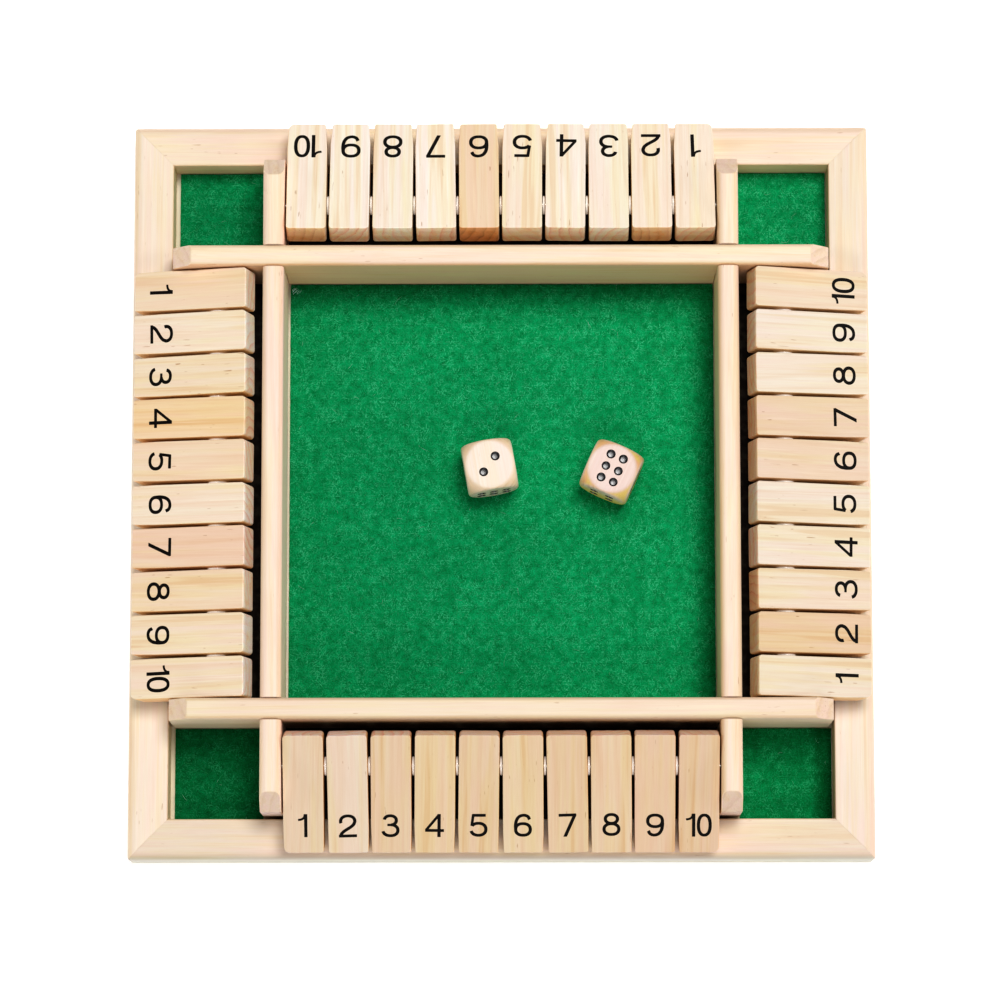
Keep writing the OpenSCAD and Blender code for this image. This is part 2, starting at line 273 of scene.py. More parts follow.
def felt_material(name):
    """Pressed wool felt: mottled green, thousands of short pale fibres lying every way, a soft nap."""
    t = Tree(name)
    g = t.scale3(t.add("ShaderNodeTexCoord", (), "Object"), 1000.0)
    flat = t.vmath("MULTIPLY", g, (1.0, 1.0, 0.0))
    total = None
    # Each layer holds one fibre per cell, at the cell's own place and angle.
    for size, length, width, shift in ((0.85, 0.85, 0.120, (0.0, 0.0, 0.0)), (1.2, 0.85, 0.085, (13.1, 7.7, 0.0)),
                                       (1.9, 0.8, 0.060, (41.3, 23.9, 0.0)), (0.62, 0.85, 0.150, (71.9, 5.1, 0.0)),
                                       (1.0, 0.85, 0.100, (3.9, 57.3, 0.0)), (1.5, 0.85, 0.070, (29.7, 83.1, 0.0))):
        p = t.scale3(t.vmath("ADD", flat, shift), 1.0 / size)
        bend = t.scale3(t.vmath("SUBTRACT", t.noise(p, 0.9, 1, out="Color"), (0.5, 0.5, 0.5)), (0.1, 0.1, 0.0))
        p = t.vmath("ADD", p, bend)
        v = t.add("ShaderNodeTexVoronoi", {"Vector": p, "Scale": 1.0, "Randomness": 1.0},
                  "Position", feature="F1", voronoi_dimensions="2D").node
        angle = t.math("MULTIPLY", t.add("ShaderNodeSeparateColor", {0: v.outputs["Color"]}), 6.2832)
        d = t.add("ShaderNodeVectorRotate", {"Vector": t.vmath("SUBTRACT", p, v.outputs["Position"]),
                                             "Angle": angle}, rotation_type="Z_AXIS")
        s = t.add("ShaderNodeSeparateXYZ", {0: d}).node
        u = t.math("DIVIDE", s.outputs[0], length * 0.5)
        w = t.math("DIVIDE", s.outputs[1], width)
        fall = t.math("EXPONENT", t.math("MULTIPLY", t.math("ADD", t.math("MULTIPLY", u, u),
                                                            t.math("MULTIPLY", w, w)), -1.0))
        fall = t.math("MULTIPLY", fall, t.remap(t.add("ShaderNodeSeparateColor", {0: v.outputs["Color"]}, 1),
                                                0.46, 0.95, 0.0, 1.0))
        total = fall if total is None else t.math("MAXIMUM", total, fall)
    broad = t.noise(flat, 0.035, 3, 0.55)
    mott = t.noise(flat, 0.42, 3, 0.6)
    grit = t.noise(flat, 2.9, 3, 0.7)
    c = t.ramp(t.math("ADD", t.math("MULTIPLY", mott, 0.35), t.math("MULTIPLY", grit, 0.65)),
               [(0.36, (0.002, 0.162, 0.052)), (0.5, (0.004, 0.320, 0.120)), (0.64, (0.016, 0.515, 0.228))])
    c = t.mix(t.remap(broad, 0.35, 0.65, 0.0, 0.25), c, (0.005, 0.21, 0.07))
    dense = t.remap(t.noise(t.vmath("ADD", flat, (5.0, 91.0, 0.0)), 0.22, 3), 0.34, 0.64, 0.24, 1.0)
    c = t.mix(t.math("MULTIPLY", t.math("MULTIPLY", total, dense), 0.95), c, (0.122, 0.700, 0.385))
    # Painted shade: the cloth is darker towards the left and a little towards the front.
    painted_side_shade = t.vmath("DOT_PRODUCT", flat, (0.95, 0.25, 0.0), 1)
    c = t.mix(t.remap(painted_side_shade, 12.0, -80.0, 0.0, 1.0, False), c, t.mix(1.0, c, (0.74, 0.755, 0.75), "MULTIPLY"))
    # Painted shade: a darker strip along the walls at the back and on the right of the field.
    painted_wall_shade = t.math("MAXIMUM", t.remap(t.vmath("DOT_PRODUCT", flat, (0.0, 1.0, 0.0), 1), 57.5, 67.8),
                  t.remap(t.vmath("DOT_PRODUCT", flat, (1.0, 0.0, 0.0), 1), 57.5, 67.5))
    painted_wall_shade = t.math("MULTIPLY", painted_wall_shade, t.math("LESS_THAN", t.vmath("LENGTH", t.vmath(
        "MAXIMUM", t.vmath("SUBTRACT", t.vmath("ABSOLUTE", flat), (67.6, 67.6, 0.0)), (0.0, 0.0, 0.0)), None, 1), 0.01))
    c = t.mix(painted_wall_shade, c, t.mix(1.0, c, (0.62, 0.64, 0.60), "MULTIPLY"))
    # Painted shadow: a dark strip along the right rail in the front right pocket.
    outer = t.math("MULTIPLY", t.remap(t.vmath("DOT_PRODUCT", flat, (1.0, 0.0, 0.0), 1), 95.5, 100.5),
                   t.math("LESS_THAN", t.vmath("DOT_PRODUCT", flat, (0.0, 1.0, 0.0), 1), 0.0))
    c = t.mix(outer, c, t.mix(1.0, c, (0.42, 0.50, 0.44), "MULTIPLY"))
    # Painted shade: the two pieces in the front pockets are darker, the left one more than the right.
    front = t.vmath("DOT_PRODUCT", flat, (0.0, 1.0, 0.0), 1)
    c = t.mix(t.remap(front, -70.0, -72.0, 0.0, 1.0, False), c, t.mix(
        t.remap(t.vmath("DOT_PRODUCT", flat, (1.0, 0.0, 0.0), 1), -40.0, 40.0, 0.0, 1.0, False),
        t.mix(1.0, c, (0.52, 0.62, 0.56), "MULTIPLY"), t.mix(1.0, c, (0.58, 0.73, 0.66), "MULTIPLY")))
    h = t.math("ADD", t.math("MULTIPLY", total, 0.7), t.math("ADD", t.math("MULTIPLY", mott, 0.8),
                                                            t.math("MULTIPLY", grit, 0.6)))
    return t.shade(c, 0.93, h, 0.75, 0.00025, IOR=1.4, Specular_IOR_Level=0.08,
                   Sheen_Weight=0.08, Sheen_Roughness=0.5, Sheen_Tint=(0.3, 0.9, 0.5, 1.0))


felt_green = felt_material("pressed_felt")


def steel_material():
    t = Tree("drawn_steel")
    g = t.scale3(t.add("ShaderNodeTexCoord", (), "Object"), 1000.0)
    n = t.noise(g, (0.8, 0.8, 9.0), 3)
    c = t.ramp(n, [(0.3, (0.72, 0.71, 0.69)), (0.7, (0.90, 0.89, 0.87))])
    return t.shade(c, t.remap(n, 0.3, 0.7, 0.22, 0.38), n, 0.3, 0.00002, Metallic=1.0)


def nylon_material():
    t = Tree("spacer_nylon_gloss")
    g = t.scale3(t.add("ShaderNodeTexCoord", (), "Object"), 1000.0)
    n = t.noise(g, 0.9, 3)
    c = t.ramp(n, [(0.3, (0.93, 0.92, 0.89)), (0.7, (0.97, 0.965, 0.95))])
    # Painted light: the nylon glows faintly through a small emission.
    return t.shade(c, t.remap(n, 0.3, 0.7, 0.12, 0.26), n, 0.2, 0.00003, IOR=1.6, Coat_Weight=1.0,
                   Coat_Roughness=0.1, Emission_Color=(1.0, 0.98, 0.95, 1.0), Emission_Strength=0.12)


def ink_material():
    """Screen-printed black with slight misses over the grain."""
    t = Tree("printed_ink")
    g = t.attr("grain", "Vector")
    n = t.noise(g, (3.5, 1.1, 3.5), 3, 0.6)
    f = t.noise(g, (7.0, 0.3, 7.0), 2)
    c = t.ramp(n, [(0.35, (0.0035, 0.0025, 0.002)), (0.62, (0.008, 0.006, 0.0045)), (0.8, (0.025, 0.017, 0.011))])
    c = t.mix(t.remap(f, 0.62, 0.8, 0.0, 0.5), c, (0.06, 0.04, 0.025))
    return t.shade(c, t.remap(n, 0.3, 0.7, 0.48, 0.64), n, 0.35, 0.00002, IOR=1.45, Specular_IOR_Level=0.22)


def pip_material():
    t = Tree("pip_paint_black")
    g = t.scale3(t.add("ShaderNodeTexCoord", (), "Object"), 1000.0)
    n = t.noise(g, 1.6, 3)
    c = t.ramp(n, [(0.3, (0.010, 0.009, 0.011)), (0.7, (0.022, 0.019, 0.022))])
    return t.shade(c, t.remap(n, 0.3, 0.7, 0.24, 0.38), n, 0.5, 0.00006, IOR=1.5, Coat_Weight=0.8,
                   Coat_Roughness=0.28, Coat_IOR=1.6)


def lint_material():
    t = Tree("lint_fibre")
    c = t.attr("tone", "Color")
    n = t.noise(t.scale3(t.add("ShaderNodeTexCoord", (), "Object"), 1000.0), 2.0, 2)
    c = t.mix(t.remap(n, 0.3, 0.7, 0.0, 0.35), c, t.mix(1.0, c, (0.6, 0.75, 0.6), "MULTIPLY"))
    return t.shade(c, 0.85, n, 0.3, 0.00003, Sheen_Weight=0.2)


steel, nylon, ink, pip_black, lint_mat = (steel_material(), nylon_material(), ink_material(),
                                          pip_material(), lint_material())


# ---------------------------------------------------------------- mesh tools
def turn_z(deg):
    a = math.radians(deg)
    return np.array([[math.cos(a), -math.sin(a), 0], [math.sin(a), math.cos(a), 0], [0, 0, 1.0]])


def turn_x(deg):
    a = math.radians(deg)
    return np.array([[1.0, 0, 0], [0, math.cos(a), -math.sin(a)], [0, math.sin(a), math.cos(a)]])


def new_object(name, verts, faces, rot=None, shift=(0, 0, 0)):
    """An object at the origin whose mesh is verts, in millimetres, turned and moved into the row frame."""
    v = np.asarray(verts, float)
    if rot is not None:
        v = v @ np.asarray(rot).T
    v = (v + np.asarray(shift, float)) * MM
    me = bpy.data.meshes.new(name)
    me.from_pydata([tuple(p) for p in v], [], [tuple(f) for f in faces])
    me.update()
    ob = bpy.data.objects.new(name, me)
    scene.collection.objects.link(ob)
    bm = bmesh.new()
    bm.from_mesh(me)
    loose = [x for x in bm.verts if not x.link_faces]
    bmesh.ops.delete(bm, geom=loose, context="VERTS")
    bmesh.ops.recalc_face_normals(bm, faces=bm.faces)
    bm.to_mesh(me)
    bm.free()
    return ob


def sharpen(me, deg=38.0):
    """Smooth faces with sharp edges wherever two faces meet at more than deg."""
    bm = bmesh.new()
    bm.from_mesh(me)
    limit = math.radians(deg)
    for f in bm.faces:
        f.smooth = True
    for e in bm.edges:
        e.smooth = not (len(e.link_faces) == 2 and e.calc_face_angle(0.0) > limit)
    bm.to_mesh(me)
    bm.free()


def bake_modifiers(ob):
    """Applies the object's modifiers to its mesh."""
    dg = bpy.context.evaluated_depsgraph_get()
    dg.update()
    me = bpy.data.meshes.new_from_object(ob.evaluated_get(dg), preserve_all_data_layers=True, depsgraph=dg)
    old = ob.data
    ob.modifiers.clear()
    ob.data = me
    me.name = ob.name
    bpy.data.meshes.remove(old)
    return ob


def settle(ob, deg=38.0):
    """Final shading: sharp where the surface turns sharply, and flat faces that shade flat."""
    sharpen(ob.data, deg)
    m = ob.modifiers.new("weighted", "WEIGHTED_NORMAL")
    m.mode, m.weight, m.keep_sharp = "FACE_AREA", 60, True
    return bake_modifiers(ob)


def grain(ob, rot, shift, seed, tone=(1.0, 1.0, 1.0), pith=30.0, axis=1, slant=0.0, end=(0.93, 0.97, 1.08),
          flank=(1.0, 1.0, 1.0), facing=None):
    """Writes the wood attributes: where each point lies in the log it was cut from, which corners
    show end grain, which sit on a rounded edge and which lie on the flank that looks along facing,
    with the painted light and shade tint for that flank.
    rot and shift placed the piece, in millimetres."""
    rng = random.Random(seed)
    me = ob.data
    n = len(me.vertices)
    co = np.empty(n * 3, np.float32)
    me.vertices.foreach_get("co", co)
    local = (co.reshape(-1, 3) / MM - np.asarray(shift)) @ np.asarray(rot)
    order = [0, 1, 2] if axis == 1 else [1, 0, 2]
    local = local[:, order]
    a = rng.uniform(0, 2 * math.pi)
    d = rng.uniform(0.6, 1.4) * pith
    s = math.radians(slant if slant else rng.uniform(-1.3, 1.3))
    x, y, z = local.T
    x, y = x * math.cos(s) - y * math.sin(s), x * math.sin(s) + y * math.cos(s)
    s2 = math.radians(rng.uniform(-1.5, 1.5))
    z, y = z * math.cos(s2) - y * math.sin(s2), z * math.sin(s2) + y * math.cos(s2)
    g = np.stack([x + d * math.cos(a), y + rng.uniform(-400, 400), z + d * math.sin(a)], 1)
    at = me.attributes.new("grain", "FLOAT_VECTOR", "POINT")
    at.data.foreach_set("vector", g.astype(np.float32).ravel())
    at = me.attributes.new("tone", "FLOAT_COLOR", "POINT")
    at.data.foreach_set("color", np.tile(np.array([*tone, 1.0], np.float32), n))
    at = me.attributes.new("endtone", "FLOAT_COLOR", "POINT")
    at.data.foreach_set("color", np.tile(np.array([*end, 1.0], np.float32), n))
    nl = len(me.loops)
    nr = np.empty(nl * 3, np.float32)
    me.corner_normals.foreach_get("vector", nr)
    nr = nr.reshape(-1, 3) @ np.asarray(rot, np.float32)
    if facing is not None:
        f = np.clip((nr @ np.asarray(facing, np.float32) - 0.45) / 0.4, 0, 1)
        at = me.attributes.new("flank", "FLOAT", "CORNER")
        at.data.foreach_set("value", (f * f * (3 - 2 * f)).astype(np.float32))
        at = me.attributes.new("flank_light_tint", "FLOAT_COLOR", "POINT")
        at.data.foreach_set("color", np.tile(np.array([*flank, 1.0], np.float32), n))
    nr = np.abs(nr)[:, order]
    e = np.clip((nr[:, 1] - 0.45) / 0.4, 0, 1)
    at = me.attributes.new("endgrain", "FLOAT", "CORNER")
    at.data.foreach_set("value", (e * e * (3 - 2 * e)).astype(np.float32))
    r = np.clip((0.985 - nr.max(1)) / 0.16, 0, 1)
    at = me.attributes.new("rim", "FLOAT", "CORNER")
    at.data.foreach_set("value", (r * r * (3 - 2 * r)).astype(np.float32))


def dress(ob, mat, body, slot, *nodes):
    ob.data.materials.clear()
    ob.data.materials.append(mat)
    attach(ob, body)
    if nodes:
        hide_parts(*nodes)
    return ob


def rounded(points, radii, segs=5):
    """A closed outline with its corners rounded: (points, outward normals). Counter-clockwise input."""
    out, nor = [], []
    n = len(points)
    for i in range(n):
        p0, p1, p2 = (np.array(points[(i + k) % n], float) for k in (-1, 0, 1))
        a, b = (p0 - p1) / np.linalg.norm(p0 - p1), (p2 - p1) / np.linalg.norm(p2 - p1)
        n0 = np.array([-a[1], a[0]])  # outward normal of the side that comes in
        n1 = np.array([b[1], -b[0]])
        r = radii[i]
        cosang = float(np.clip(a @ b, -1, 1))
        half = math.acos(cosang) / 2
        if r <= 0 or half > math.pi / 2 - 1e-4:
            out.append(p1)
            m = n0 + n1
            nor.append(m / np.linalg.norm(m))
            continue
        cross = a[0] * b[1] - a[1] * b[0]
        convex = cross < 0
        c = p1 + (a + b) / np.linalg.norm(a + b) * (r / math.sin(half))
        t0, t1 = p1 + a * r / math.tan(half), p1 + b * r / math.tan(half)
        a0, a1 = math.atan2(*(t0 - c)[::-1]), math.atan2(*(t1 - c)[::-1])
        da = (a1 - a0 + math.pi) % (2 * math.pi) - math.pi
        for k in range(segs + 1):
            w = a0 + da * k / segs
            u = np.array([math.cos(w), math.sin(w)])
            out.append(c + u * r)
            nor.append(u if convex else -u)
    return np.array(out), np.array(nor)


def soft_noise(p, size, seed=0.0):
    return noise.noise(Vector((p[0] / size + seed, p[1] / size - seed * 0.7, p[2] / size + seed * 1.3)))


# ---------------------------------------------------------------- rails
CORNER_R = 1.0


def build_rail(side, seed, tone):
    pts, _ = rounded([(6.3, 0), (RAIL_W, 0), (RAIL_W, RAIL_H), (0, RAIL_H), (0, BASE_T), (6.3, BASE_T)],
                     [0.2, 0.5, 3.2, 0.55, 0.15, 0.0], 7)
    c0 = INNER - 2.0
    mid = list(np.linspace(-c0, c0, 61))
    ends = [0.12, 0.26, 0.4, 0.54, 0.68, 0.8, 0.88, 0.915, 0.94, 0.965, 0.985]
    cx, cz = 7.5, 9.0
    sections = []

    def at_end(u, z, f, sgn):
        s = RAIL_W - u
        rho = max(CORNER_R - s, 0.0)
        cs = min(HALF - s, HALF - CORNER_R)
        total = (cs - c0) + rho * math.pi / 4 - 0.008
        l = total * f
        if l <= cs - c0:
            x, y = c0 + l, HALF - s
        else:
            th = (l - (cs - c0)) / rho
            x, y = cs + rho * math.sin(th), HALF - s - rho + rho * math.cos(th)
        return (sgn * x, -y, z)

    inset = [(cx + (u - cx) * 0.994, cz + (z - cz) * 0.994) for u, z in pts]
    sections.append([at_end(u, z, 1.0, -1) for u, z in inset])
    sections += [[at_end(u, z, f, -1) for u, z in pts] for f in reversed(ends)]
    for x in mid:
        row = []
        for u, z in pts:
            w = 0.05 * soft_noise((x, u * 3, z * 3), 17.0, seed * 1.7)
            taper = min(1.0, (c0 - abs(x)) / 12.0)
            row.append((x, -(HALF - (RAIL_W - u)) - w * taper * (0.3 if u > 12 else 1.0),
                        z - abs(w) * 0.5 * taper if z > 1 else z))
        sections.append(row)
    sections += [[at_end(u, z, f, 1) for u, z in pts] for f in ends]
    sections.append([at_end(u, z, 1.0, 1) for u, z in inset])
    m = len(pts)
    verts = [p for s in sections for p in s]
    faces = []
    for i in range(len(sections) - 1):
        for j in range(m):
            k = (j + 1) % m
            faces.append((i * m + j, i * m + k, (i + 1) * m + k, (i + 1) * m + j))
    faces.append(tuple(range(m)))
    faces.append(tuple((len(sections) - 1) * m + j for j in range(m)))
    rot = turn_z(SIDES[side])
    ob = new_object("rail_" + side, verts, faces, rot)
    settle(ob, 30)
    # Painted light and shade on one flank of each rail: the front rail's outer face is darker in red, the right rail's
    # inner face is darkened, and the back and left rails' inner faces are lightened.
    grain(ob, rot, (0, 0, 0), seed, tone, pith=46, axis=0, slant=random.Random(seed).uniform(-0.5, 0.5),
          flank={"front": (0.86, 0.97, 1.03), "right": (0.74, 0.68, 0.60)}.get(side, (1.15, 1.07, 0.98)),
          facing=(0, -1, 0) if side == "front" else (0, 1, 0))
    dress(ob, rail_wood, "tray", "rail_wood", side + "_rail")
    return ob


# Painted light: each rail's overall tone follows how the light falls, the front rail darker and the right one a little
# darker and cooler.
for i, (side, tone) in enumerate((("front", (0.895, 0.890, 0.895)), ("back", (0.99, 0.985, 0.98)),
                                  ("left", (1.0, 1.015, 1.03)), ("right", (0.945, 0.96, 1.0)))):
    build_rail(side, 11 + i, tone)


# ---------------------------------------------------------------- dividers
def boolean(ob, cutter_verts, cutter_faces, rot=None, shift=(0, 0, 0), mat=None):
    cut = new_object("cutter", cutter_verts, cutter_faces, rot, shift)
    if mat is not None:
        cut.data.materials.append(mat)
    m = ob.modifiers.new("cut", "BOOLEAN")
    m.operation, m.solver, m.object = "DIFFERENCE", "EXACT", cut
    if mat is not None:
        m.material_mode = "TRANSFER"
    bake_modifiers(ob)
    me = cut.data
    bpy.data.objects.remove(cut)
    bpy.data.meshes.remove(me)


def box_mesh(lo, hi):
    x0, y0, z0 = lo
    x1, y1, z1 = hi
    v = [(x, y, z) for x in (x0, x1) for y in (y0, y1) for z in (z0, z1)]
    return v, [(0, 1, 3, 2), (4, 6, 7, 5), (0, 4, 5, 1), (2, 3, 7, 6), (0, 2, 6, 4), (1, 5, 7, 3)]


def tube_mesh(p0, p1, r, n=24):
    p0, p1 = np.array(p0, float), np.array(p1, float)
    d = (p1 - p0) / np.linalg.norm(p1 - p0)
    u = np.cross(d, (0, 0, 1.0) if abs(d[2]) < 0.9 else (1.0, 0, 0))
    u /= np.linalg.norm(u)
    w = np.cross(d, u)
    v, f = [], []
    for p in (p0, p1):
        v += [p + r * (math.cos(2 * math.pi * k / n) * u + math.sin(2 * math.pi * k / n) * w) for k in range(n)]
    f = [(k, (k + 1) % n, n + (k + 1) % n, n + k) for k in range(n)]
    return v, f + [tuple(range(n)), tuple(range(n, 2 * n))]


def build_divider(name, node, radius, long_one, side, seed, tone, flank):
    """Local frame: along X, height Z, centred on y = 0. side is +1 where the dice field lies at +Y."""
    e, bevel = INNER - 1.0, 6.0
    top = [(3.3, 3.0), (3.3, DIV_TOP), (-3.3, DIV_TOP), (-3.3, 3.0)]
    pts, _ = rounded(top, [0, radius, radius, 0], 10)
    pts = [tuple(p) for p in pts]
    # A vertex line where the end bevel starts, on both faces.
    i = next(k for k, p in enumerate(pts) if p[1] > 10)
    pts.insert(i, (3.3, DIV_TOP - bevel))
    j = max(k for k, p in enumerate(pts) if p[1] > 10)
    pts.insert(j + 1, (-3.3, DIV_TOP - bevel))
    m = len(pts)

    def end(z):
        return e - max(0.0, z - (DIV_TOP - bevel))

    verts, faces = [], []
    for sx in (-1, 1):
        verts += [(sx * end(z), y, z) for y, z in pts]
    for k in range(m):
        faces.append((k, (k + 1) % m, m + (k + 1) % m, m + k))
    low = [k for k in range(m) if pts[k][1] <= DIV_TOP - bevel + 1e-6]
    high = [k for k in range(m) if pts[k][1] >= DIV_TOP - bevel - 1e-6]
    for o in (0, m):
        faces.append(tuple(o + k for k in sorted(low, key=lambda k: (pts[k][0] < 0, pts[k][1] if pts[k][0] > 0 else -pts[k][1]))))
        faces.append(tuple(o + k for k in high))
    if long_one:
        rot, shift = np.eye(3), (0, -side * DIV_MID, 0)
    else:
        rot, shift = turn_z(90), (side * DIV_MID, 0, 0)
    ob = new_object(name, verts, faces, rot, shift)
    for s in (-1, 1):
        w = (DIV_T + 0.12) / 2
        z = (-5, LAP_Z + 0.02) if long_one else (LAP_Z - 0.02, 50)
        v, f = box_mesh((s * DIV_MID - w, -6, z[0]), (s * DIV_MID + w, 6, z[1]))
        boolean(ob, v, f, rot, shift)
        v, f = tube_mesh((s * ROD_R, side * 4.5, ROD_Z), (s * ROD_R, side * (3.3 - 4.5), ROD_Z), ROD_D / 2 + 0.03)
        boolean(ob, v, f, rot, shift)
    b = ob.modifiers.new("arris", "BEVEL")
    b.width, b.segments, b.limit_method, b.angle_limit = 0.28 * MM, 3, "ANGLE", math.radians(33)
    b.use_clamp_overlap = True
    bake_modifiers(ob)
    settle(ob, 32)
    grain(ob, rot, shift, seed, tone, pith=36, axis=0, end=(0.98, 0.98, 1.10) if long_one else (0.90, 0.90, 1.0),
          flank=flank, facing=(0, side, 0))
    return dress(ob, divider_wood, "tray", "divider_wood", node)


# The last argument is painted light and shade on each divider's wall that faces the field: the back divider's is
# warmed, the left one's lightened, the right one's darkened and warmed.
build_divider("divider_front", "front_divider", 1.5, True, 1, 21, (0.94, 0.925, 0.885), (1.0, 1.0, 1.0))
build_divider("divider_back", "back_divider", 1.5, True, -1, 22, (0.975, 0.96, 0.94), (1.04, 0.86, 0.72))
build_divider("divider_left", "left_divider", 2.2, False, -1, 23, (0.99, 0.975, 0.98), (1.20, 1.10, 1.16))
build_divider("divider_right", "right_divider", 2.2, False, 1, 24, (0.985, 0.955, 0.94), (0.92, 0.87, 0.75))

# ---------------------------------------------------------------- base panel, rods
for n, mat in (("base_panel", panel_wood), ("front_rod", steel), ("back_rod", steel),
               ("left_rod", steel), ("right_rod", steel)):
    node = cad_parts[n]
    for s in node.material_slots:
        s.material = mat

# ---------------------------------------------------------------- spacers
def build_spacers():
    """Moulded nylon rings with fully rounded rims, one in each gap between two tiles."""
    verts, faces = [], []
    rng = random.Random(5)
    ro, ri, h = 3.0, 0.64, 0.37
    prof = []
    for k in range(9):  # rounded outer rim
        a = math.pi * (k / 8 - 0.5)
        prof.append((ro - 0.42 + 0.42 * math.cos(a), h * math.sin(a)))
    prof += [(ri + 0.12, h), (ri, h - 0.12), (ri, -h + 0.12), (ri + 0.12, -h)]
    m, seg = len(prof), 36
    for side, ang in SIDES.items():
        for i in range(1, 10):
            rot = turn_z(ang)
            c = np.array([(i - 5) * PITCH + rng.uniform(-0.02, 0.02), -ROD_R, ROD_Z - 0.03])
            lean = math.radians(rng.uniform(-0.4, 0.4))
            base = len(verts)
            for k in range(seg):
                a = 2 * math.pi * k / seg
                for r, x in prof:
                    y, z = r * math.cos(a), r * math.sin(a)
                    p = np.array([x * math.cos(lean) - y * math.sin(lean), x * math.sin(lean) + y * math.cos(lean), z])
                    verts.append(rot @ (p + c))
            for k in range(seg):
                for j in range(m):
                    k2, j2 = (k + 1) % seg, (j + 1) % m
                    faces.append((base + k * m + j, base + k2 * m + j, base + k2 * m + j2, base + k * m + j2))
    ob = new_object("spacers", verts, faces)
    settle(ob, 40)
    return dress(ob, nylon, "tray", "spacer_nylon", "tile_spacers")


build_spacers()


# ---------------------------------------------------------------- digits
def superellipse(cx, cy, rx, ry, a0=0.0, a1=360.0, e=2.3, n=56):
    out = []
    for k in range(n + 1):
        a = math.radians(a0 + (a1 - a0) * k / n)
        c, s = math.cos(a), math.sin(a)
        out.append((cx + rx * math.copysign(abs(c) ** (2 / e), c), cy + ry * math.copysign(abs(s) ** (2 / e), s)))
    return out


def spline(points, n=14):
    """Catmull-Rom curve through the points."""
    p = [np.array(q, float) for q in points]
    p = [2 * p[0] - p[1]] + p + [2 * p[-1] - p[-2]]
    out = []
    for i in range(1, len(p) - 2):
        for k in range(n):
            t = k / n
            a, b, c, d = p[i - 1], p[i], p[i + 1], p[i + 2]
            out.append(tuple(0.5 * (2 * b + (c - a) * t + (2 * a - 5 * b + 4 * c - d) * t * t
                                    + (3 * b - a - 3 * c + d) * t ** 3)))
    out.append(tuple(p[-2]))
    return out


def glyph(d):
    """Strokes of a plain sans-serif digit 7 mm tall: (points, half width across, half width down, closed)."""
    w, h = 0.515, 0.455
    six = [(superellipse(0.02, 2.2, 1.93, 1.8), w, h, True),
           (spline([(1.72, 5.32), (1.28, 6.22), (0.25, 6.62), (-0.95, 6.22), (-1.7, 5.05), (-1.95, 3.5),
                    (-1.91, 2.3)]), w, h, False)]
    kx, ky = 1.22, 1.05
    strokes = {
        "0": [(superellipse(0, 3.5, 1.98, 3.11, e=2.35), w, h, True)],
        "1": [([(0.5, -0.3), (0.5, 7.3)], w, w, False),
              (spline([(-1.50, 5.28), (-1.02, 5.33), (-0.5, 5.50), (-0.06, 5.86), (0.18, 6.4), (0.26, 7.2)]),
               0.34, 0.34, False)],
        "2": [(superellipse(0, 4.93, 1.87, 1.68, 196, -6, 2.2) +
               spline([(1.83, 4.72), (1.55, 3.95), (0.85, 3.2), (-0.15, 2.5), (-1.05, 1.85), (-1.68, 1.15),
                       (-1.9, 0.4)]), w, h, False),
              ([(-2.42, 0.39), (2.32, 0.39)], h, h, False)],
        "3": [(superellipse(-0.05, 5.18, 1.58, 1.43, 172, -84, 2.15), w, h, False),
              ([(-0.8, 3.74), (0.25, 3.74)], h, 0.38, False),
              (superellipse(0.0, 2.1, 1.97, 1.70, 84, -170, 2.2), w, h, False)],
        "4": [([(1.06, 6.80), (-2.18, 2.18)], 0.42, 0.42, False), ([(-2.5, 1.95), (2.42, 1.95)], h, h, False),
              ([(1.12, -0.3), (1.12, 7.3)], w, w, False)],
        "5": [([(-1.5, 6.61), (1.95, 6.61)], h, h, False), ([(-1.30, 6.9), (-1.72, 3.35)], 0.44, 0.44, False),
              (superellipse(0.03, 2.27, 1.97, 1.87, 146, -166, 2.2), w, h, False)],
        "6": six,
        "7": [([(-2.3, 6.61), (2.32, 6.61)], h, h, False), ([(2.02, 6.75), (-0.95, -0.5)], w, w, False)],
        "8": [(superellipse(0, 5.24, 1.6, 1.37, e=2.15), w, h, True), (superellipse(0, 2.06, 1.95, 1.67, e=2.2), w, h, True)],
        "9": [([(-x, 7.0 - y) for x, y in pts], a, b, c) for pts, a, b, c in six],
    }[d]
    return [([(x * kx, 3.75 + (y - 3.5) * ky) for x, y in pts], a, b, c) for pts, a, b, c in strokes]


def distance_field(strokes, X, Y, flat):
    """Signed distance, in millimetres, to the union of the strokes, which end square."""
    best = np.full(X.shape, 99.0)
    for pts, ww, hh, closed in strokes:
        p = np.array(pts)
        near = np.full(X.shape, 99.0)
        val = np.full(X.shape, 99.0)
        last = len(p) - 2
        for i in range(len(p) - 1):
            a, b = p[i], p[i + 1]
            d = b - a
            L = float(np.hypot(*d))
            if L < 1e-9:
                continue
            u = d / L
            hw = hh + (ww - hh) * abs(u[1])
            rx, ry = X - a[0], Y - a[1]
            along = rx * u[0] + ry * u[1]
            perp = np.abs(-rx * u[1] + ry * u[0])
            t = np.clip(along, 0, L)
            dist = np.hypot(along - t, perp)
            v = dist - hw
            if not closed and i == 0:
                v = np.where(along < 0, np.maximum(perp - hw, -along), v)
            if not closed and i == last:
                v = np.where(along > L, np.maximum(perp - hw, along - L), v)
            take = dist < near
            near = np.where(take, dist, near)
            val = np.where(take, v, val)
        best = np.minimum(best, val)
    if flat:
        best = np.maximum(best, np.maximum(-Y, Y - 7.5))
    return best


